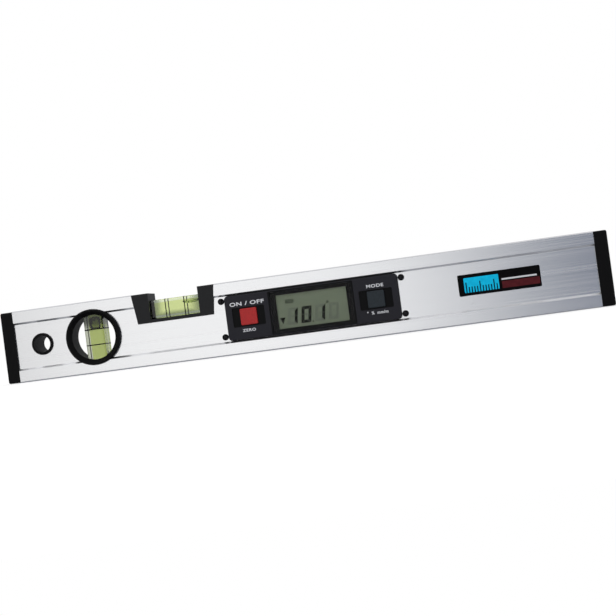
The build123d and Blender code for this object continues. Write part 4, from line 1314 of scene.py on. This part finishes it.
@dataclass
class WebLabel(SubAssembly):
    """Plain label on the web: a ruled strip, a hairline and a band of colour.

    Attributes:
        margin: Distance of the strip from the label's left end, and twice that of the band from the strip.
        strip: Length and height of the ruled strip.
        strip_foot: Height of the strip and the band over the label's foot.
        band_end: Distance of the band from the label's right end.
        line_gap: Space between the band and the hairline.
        line_end: Distance of the hairline from the label's right end.
        tick: Width and thickness of a tick.
        tick_share: Share of the strip's height that a long tick takes.
        short_share: Share of a long tick's height that a short one takes.
        tick_group: Ticks from one long one to the next.
    """

    margin: float = 4.6 * MM
    strip: Point = (27.5 * MM, 11.8 * MM)
    strip_foot: float = 2.4 * MM
    strip_round: float = 0.6 * MM
    band_height: float = 5.6 * MM
    band_end: float = 1.0 * MM
    line_height: float = 1.3 * MM
    line_gap: float = 1.0 * MM
    line_end: float = 3.0 * MM
    tick: Point = (0.9 * MM, 0.04 * MM)
    tick_pitch: float = 2.2 * MM
    tick_share: float = 0.7
    short_share: float = 0.55
    tick_group: int = 5

    def build(self) -> None:
        """Dress the film and print its colours."""
        self.paint(LABEL_FILM, "front_label")
        low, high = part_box("front_label")
        left, foot = low.x + self.margin, low.z + self.strip_foot
        right, top = left + self.strip[0], foot + self.band_height
        strip = rounded_rectangle((left, foot), (right, foot + self.strip[1]), self.strip_round)
        add_piece(plate("label_strip", [strip], low.y), CYAN_INK)
        start = right + self.margin / 2
        band = rectangle((start, foot), (high.x - self.band_end, top))
        add_piece(plate("label_band", [band], low.y), WINE_INK)
        top += self.line_gap
        line = rectangle((start, top), (high.x - self.line_end, top + self.line_height))
        add_piece(plate("label_hairline", [line], low.y), PALE_INK)
        self.build_ticks(left, foot, low.y - INK_THICKNESS)

    def build_ticks(self, left: float, foot: float, front: float) -> None:
        """Print a row of ruler ticks on the strip.

        Args:
            left: X of the strip's left end.
            foot: Z of the strip's foot.
            front: Y of the strip's face.
        """
        length, height = self.strip
        count = int(length / self.tick_pitch)
        spare = length - (count - 1) * self.tick_pitch
        sizes = {
            "Count": count,
            "Group": self.tick_group,
            "Pitch": self.tick_pitch,
            "Width": self.tick[0],
            "Height": self.tick_share * height,
            "Thickness": self.tick[1],
            "Short Share": self.short_share,
            "Start": (left + spare / 2, front, foot),
            "Finish": LABEL_FILM.material(),
        }
        add_piece(grown("label_ticks", tick_tree(), sizes), LABEL_FILM)


@dataclass(frozen=True)
class Camera:
    """Camera of the photograph, as fitted to the corners of the level's front.

    Attributes:
        azimuth: Turn to the right of straight in front, in degrees.
        elevation: Height above the horizon, in degrees.
        roll: Lean of the picture, in degrees.
        aim: Point in the middle of the picture.
        focal_pixels: Focal length in picture pixels.
        picture: Width and height of the picture, in pixels.
        sensor: Width of the sensor, in millimetres.
    """

    azimuth: float = 7.917
    elevation: float = -0.845
    roll: float = -7.562
    aim: Triple = (7.175 * MM, 0.0, 30.308 * MM)
    distance: float = 1000 * MM
    focal_pixels: float = 1223.86
    picture: float = 616.0
    sensor: float = 36.0

    def place(self) -> None:
        """Make the camera and use it for the scene."""
        data = bpy.data.cameras.new("camera")
        data.sensor_width = self.sensor
        data.lens = self.focal_pixels / self.picture * self.sensor
        camera = add_object("camera", data)
        place = Matrix.Translation(self.aim)
        for degrees, axis in ((self.azimuth, "Z"), (90 - self.elevation, "X"), (self.roll, "Z")):
            place = place @ Matrix.Rotation(math.radians(degrees), 4, axis)
        camera.matrix_world = place @ Matrix.Translation((0.0, 0.0, self.distance))
        bpy.context.scene.camera = camera


@dataclass(frozen=True)
class Lamp:
    """Soft square lamp.

    Attributes:
        power: Power in watts.
        mirrored: True if metal mirrors the lamp; otherwise metal mirrors the surround in its place.
        size: Width of its panel.
        aim: Point that it faces.
    """

    name: str
    place: Triple
    power: float
    mirrored: bool
    size: float = 0.9
    aim: Triple = (0.0, 0.0, 0.03)

    def hang(self) -> None:
        """Hang the lamp in its place."""
        data = bpy.data.lights.new(self.name, "AREA")
        data.size = self.size
        data.energy = self.power
        lamp = add_object(self.name, data)
        way = Vector(self.aim) - Vector(self.place)
        turn = way.to_track_quat("-Z", "Y").to_matrix().to_4x4()
        lamp.matrix_world = Matrix.Translation(self.place) @ turn
        lamp.visible_glossy = self.mirrored


@dataclass(frozen=True)
class Studio:
    """White studio: a pale floor, soft lamps and a surround that metal mirrors.

    Attributes:
        surround: Colour that metal sees at each azimuth; 0 is the front and 90 the right.
        ceiling: Colour that metal sees above.
        ground: Colour that metal sees below.
        rise: Sine of the angle, up or down, where ceiling and ground start and where they are full.
        sky: Strength of the light from all round.
        floor_reach: Half the floor's width.
    """

    surround: tuple[tuple[float, str], ...] = (
        (-180.0, "#dcdde0"),
        (-135.0, "#c2c3c8"),
        (-62.0, "#ececec"),
        (-42.0, "#8a8a8c"),
        (-27.0, "#828284"),
        (-21.5, WHITE),
        (-1.2, WHITE),
        (2.6, "#414e68"),
        (20.0, "#414e68"),
        (30.0, "#aeb1b9"),
        (60.0, "#e4e5e8"),
        (135.0, "#c2c3c8"),
        (180.0, "#dcdde0"),
    )
    ceiling: str = "#cdcdd0"
    ground: str = "#8c8e94"
    rise: Point = (0.3, 0.75)
    sky: float = 0.75
    lamps: tuple[Lamp, ...] = (
        Lamp("key lamp", (-0.7, -1.1, 1.2), 7.0, True),
        Lamp("rear lamp", (0.5, 1.2, 1.0), 5.0, False),
    )
    floor_reach: float = 20.0

    def light_world(self) -> None:
        """Build the world: white to the eye, even light, and a surround for mirror rays."""
        world = bpy.data.worlds.new("studio")
        add = empty_nodes(world)
        way = add("ShaderNodeTexCoord").outputs["Generated"]
        parts = add("ShaderNodeSeparateXYZ", {0: way}).outputs
        front = add("ShaderNodeMath", {0: parts["Y"], 1: -1.0}, operation="MULTIPLY")
        azimuth = add("ShaderNodeMath", {0: parts["X"], 1: front}, operation="ARCTAN2")
        circle = {"Value": azimuth, "From Min": -math.pi, "From Max": math.pi}
        share = add("ShaderNodeMapRange", circle)
        ramp = add("ShaderNodeValToRGB", {"Fac": share})
        stops = ramp.color_ramp.elements
        while len(stops) < len(self.surround):
            stops.new(1.0)
        for stop, (degrees, code) in zip(stops, self.surround):
            stop.position = (degrees + 180) / 360
            stop.color = linear(code)
        room = ramp.outputs[0]
        for side, code in ((1, self.ceiling), (-1, self.ground)):
            start, full = (side * rise for rise in self.rise)
            share = add("ShaderNodeMapRange", {"Value": parts["Z"], "From Min": start, "From Max": full})
            colours = {MIX_SHARE: share, MIX_FIRST: room, MIX_SECOND: linear(code)}
            room = add("ShaderNodeMix", colours, data_type="RGBA").outputs[MIX_RESULT]
        even = add("ShaderNodeBackground", {"Color": linear(WHITE), "Strength": self.sky})
        mirrored = add("ShaderNodeBackground", {"Color": room, "Strength": 1.0})
        white = add("ShaderNodeBackground", {"Color": linear(WHITE), "Strength": 1.0})
        seen, glossy = ray_kinds(add)
        lit = add("ShaderNodeMixShader", {0: glossy, 1: even, 2: mirrored})
        both = add("ShaderNodeMixShader", {0: seen, 1: lit, 2: white})
        add("ShaderNodeOutputWorld", {"Surface": both})
        bpy.context.scene.world = world

    def lay_floor(self) -> None:
        """Lay the floor that the level stands on."""
        reach = self.floor_reach
        mesh = bpy.data.meshes.new("floor")
        corners = [(x, y, 0.0) for x, y in rectangle((-reach, -reach), (reach, reach))]
        mesh.from_pydata(corners, [], [(0, 1, 2, 3)])
        StudioFloor("studio floor").put_on(mesh)
        add_object("floor", mesh)

    def build(self) -> None:
        """Light the scene and lay its floor."""
        self.light_world()
        self.lay_floor()
        for lamp in self.lamps:
            lamp.hang()
        bpy.context.scene.view_settings.view_transform = "Standard"


def main() -> None:
    """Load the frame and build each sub-assembly in order."""
    logging.basicConfig(level=logging.INFO, format="%(name)s: %(message)s")
    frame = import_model()
    Camera().place()
    Studio().build()
    for part in (Profile, LevelVial, PlumbVial, Display, BatteryBay, WebLabel):
        part(frame["nodes"]).build()


if __name__ == "__main__":
    main()
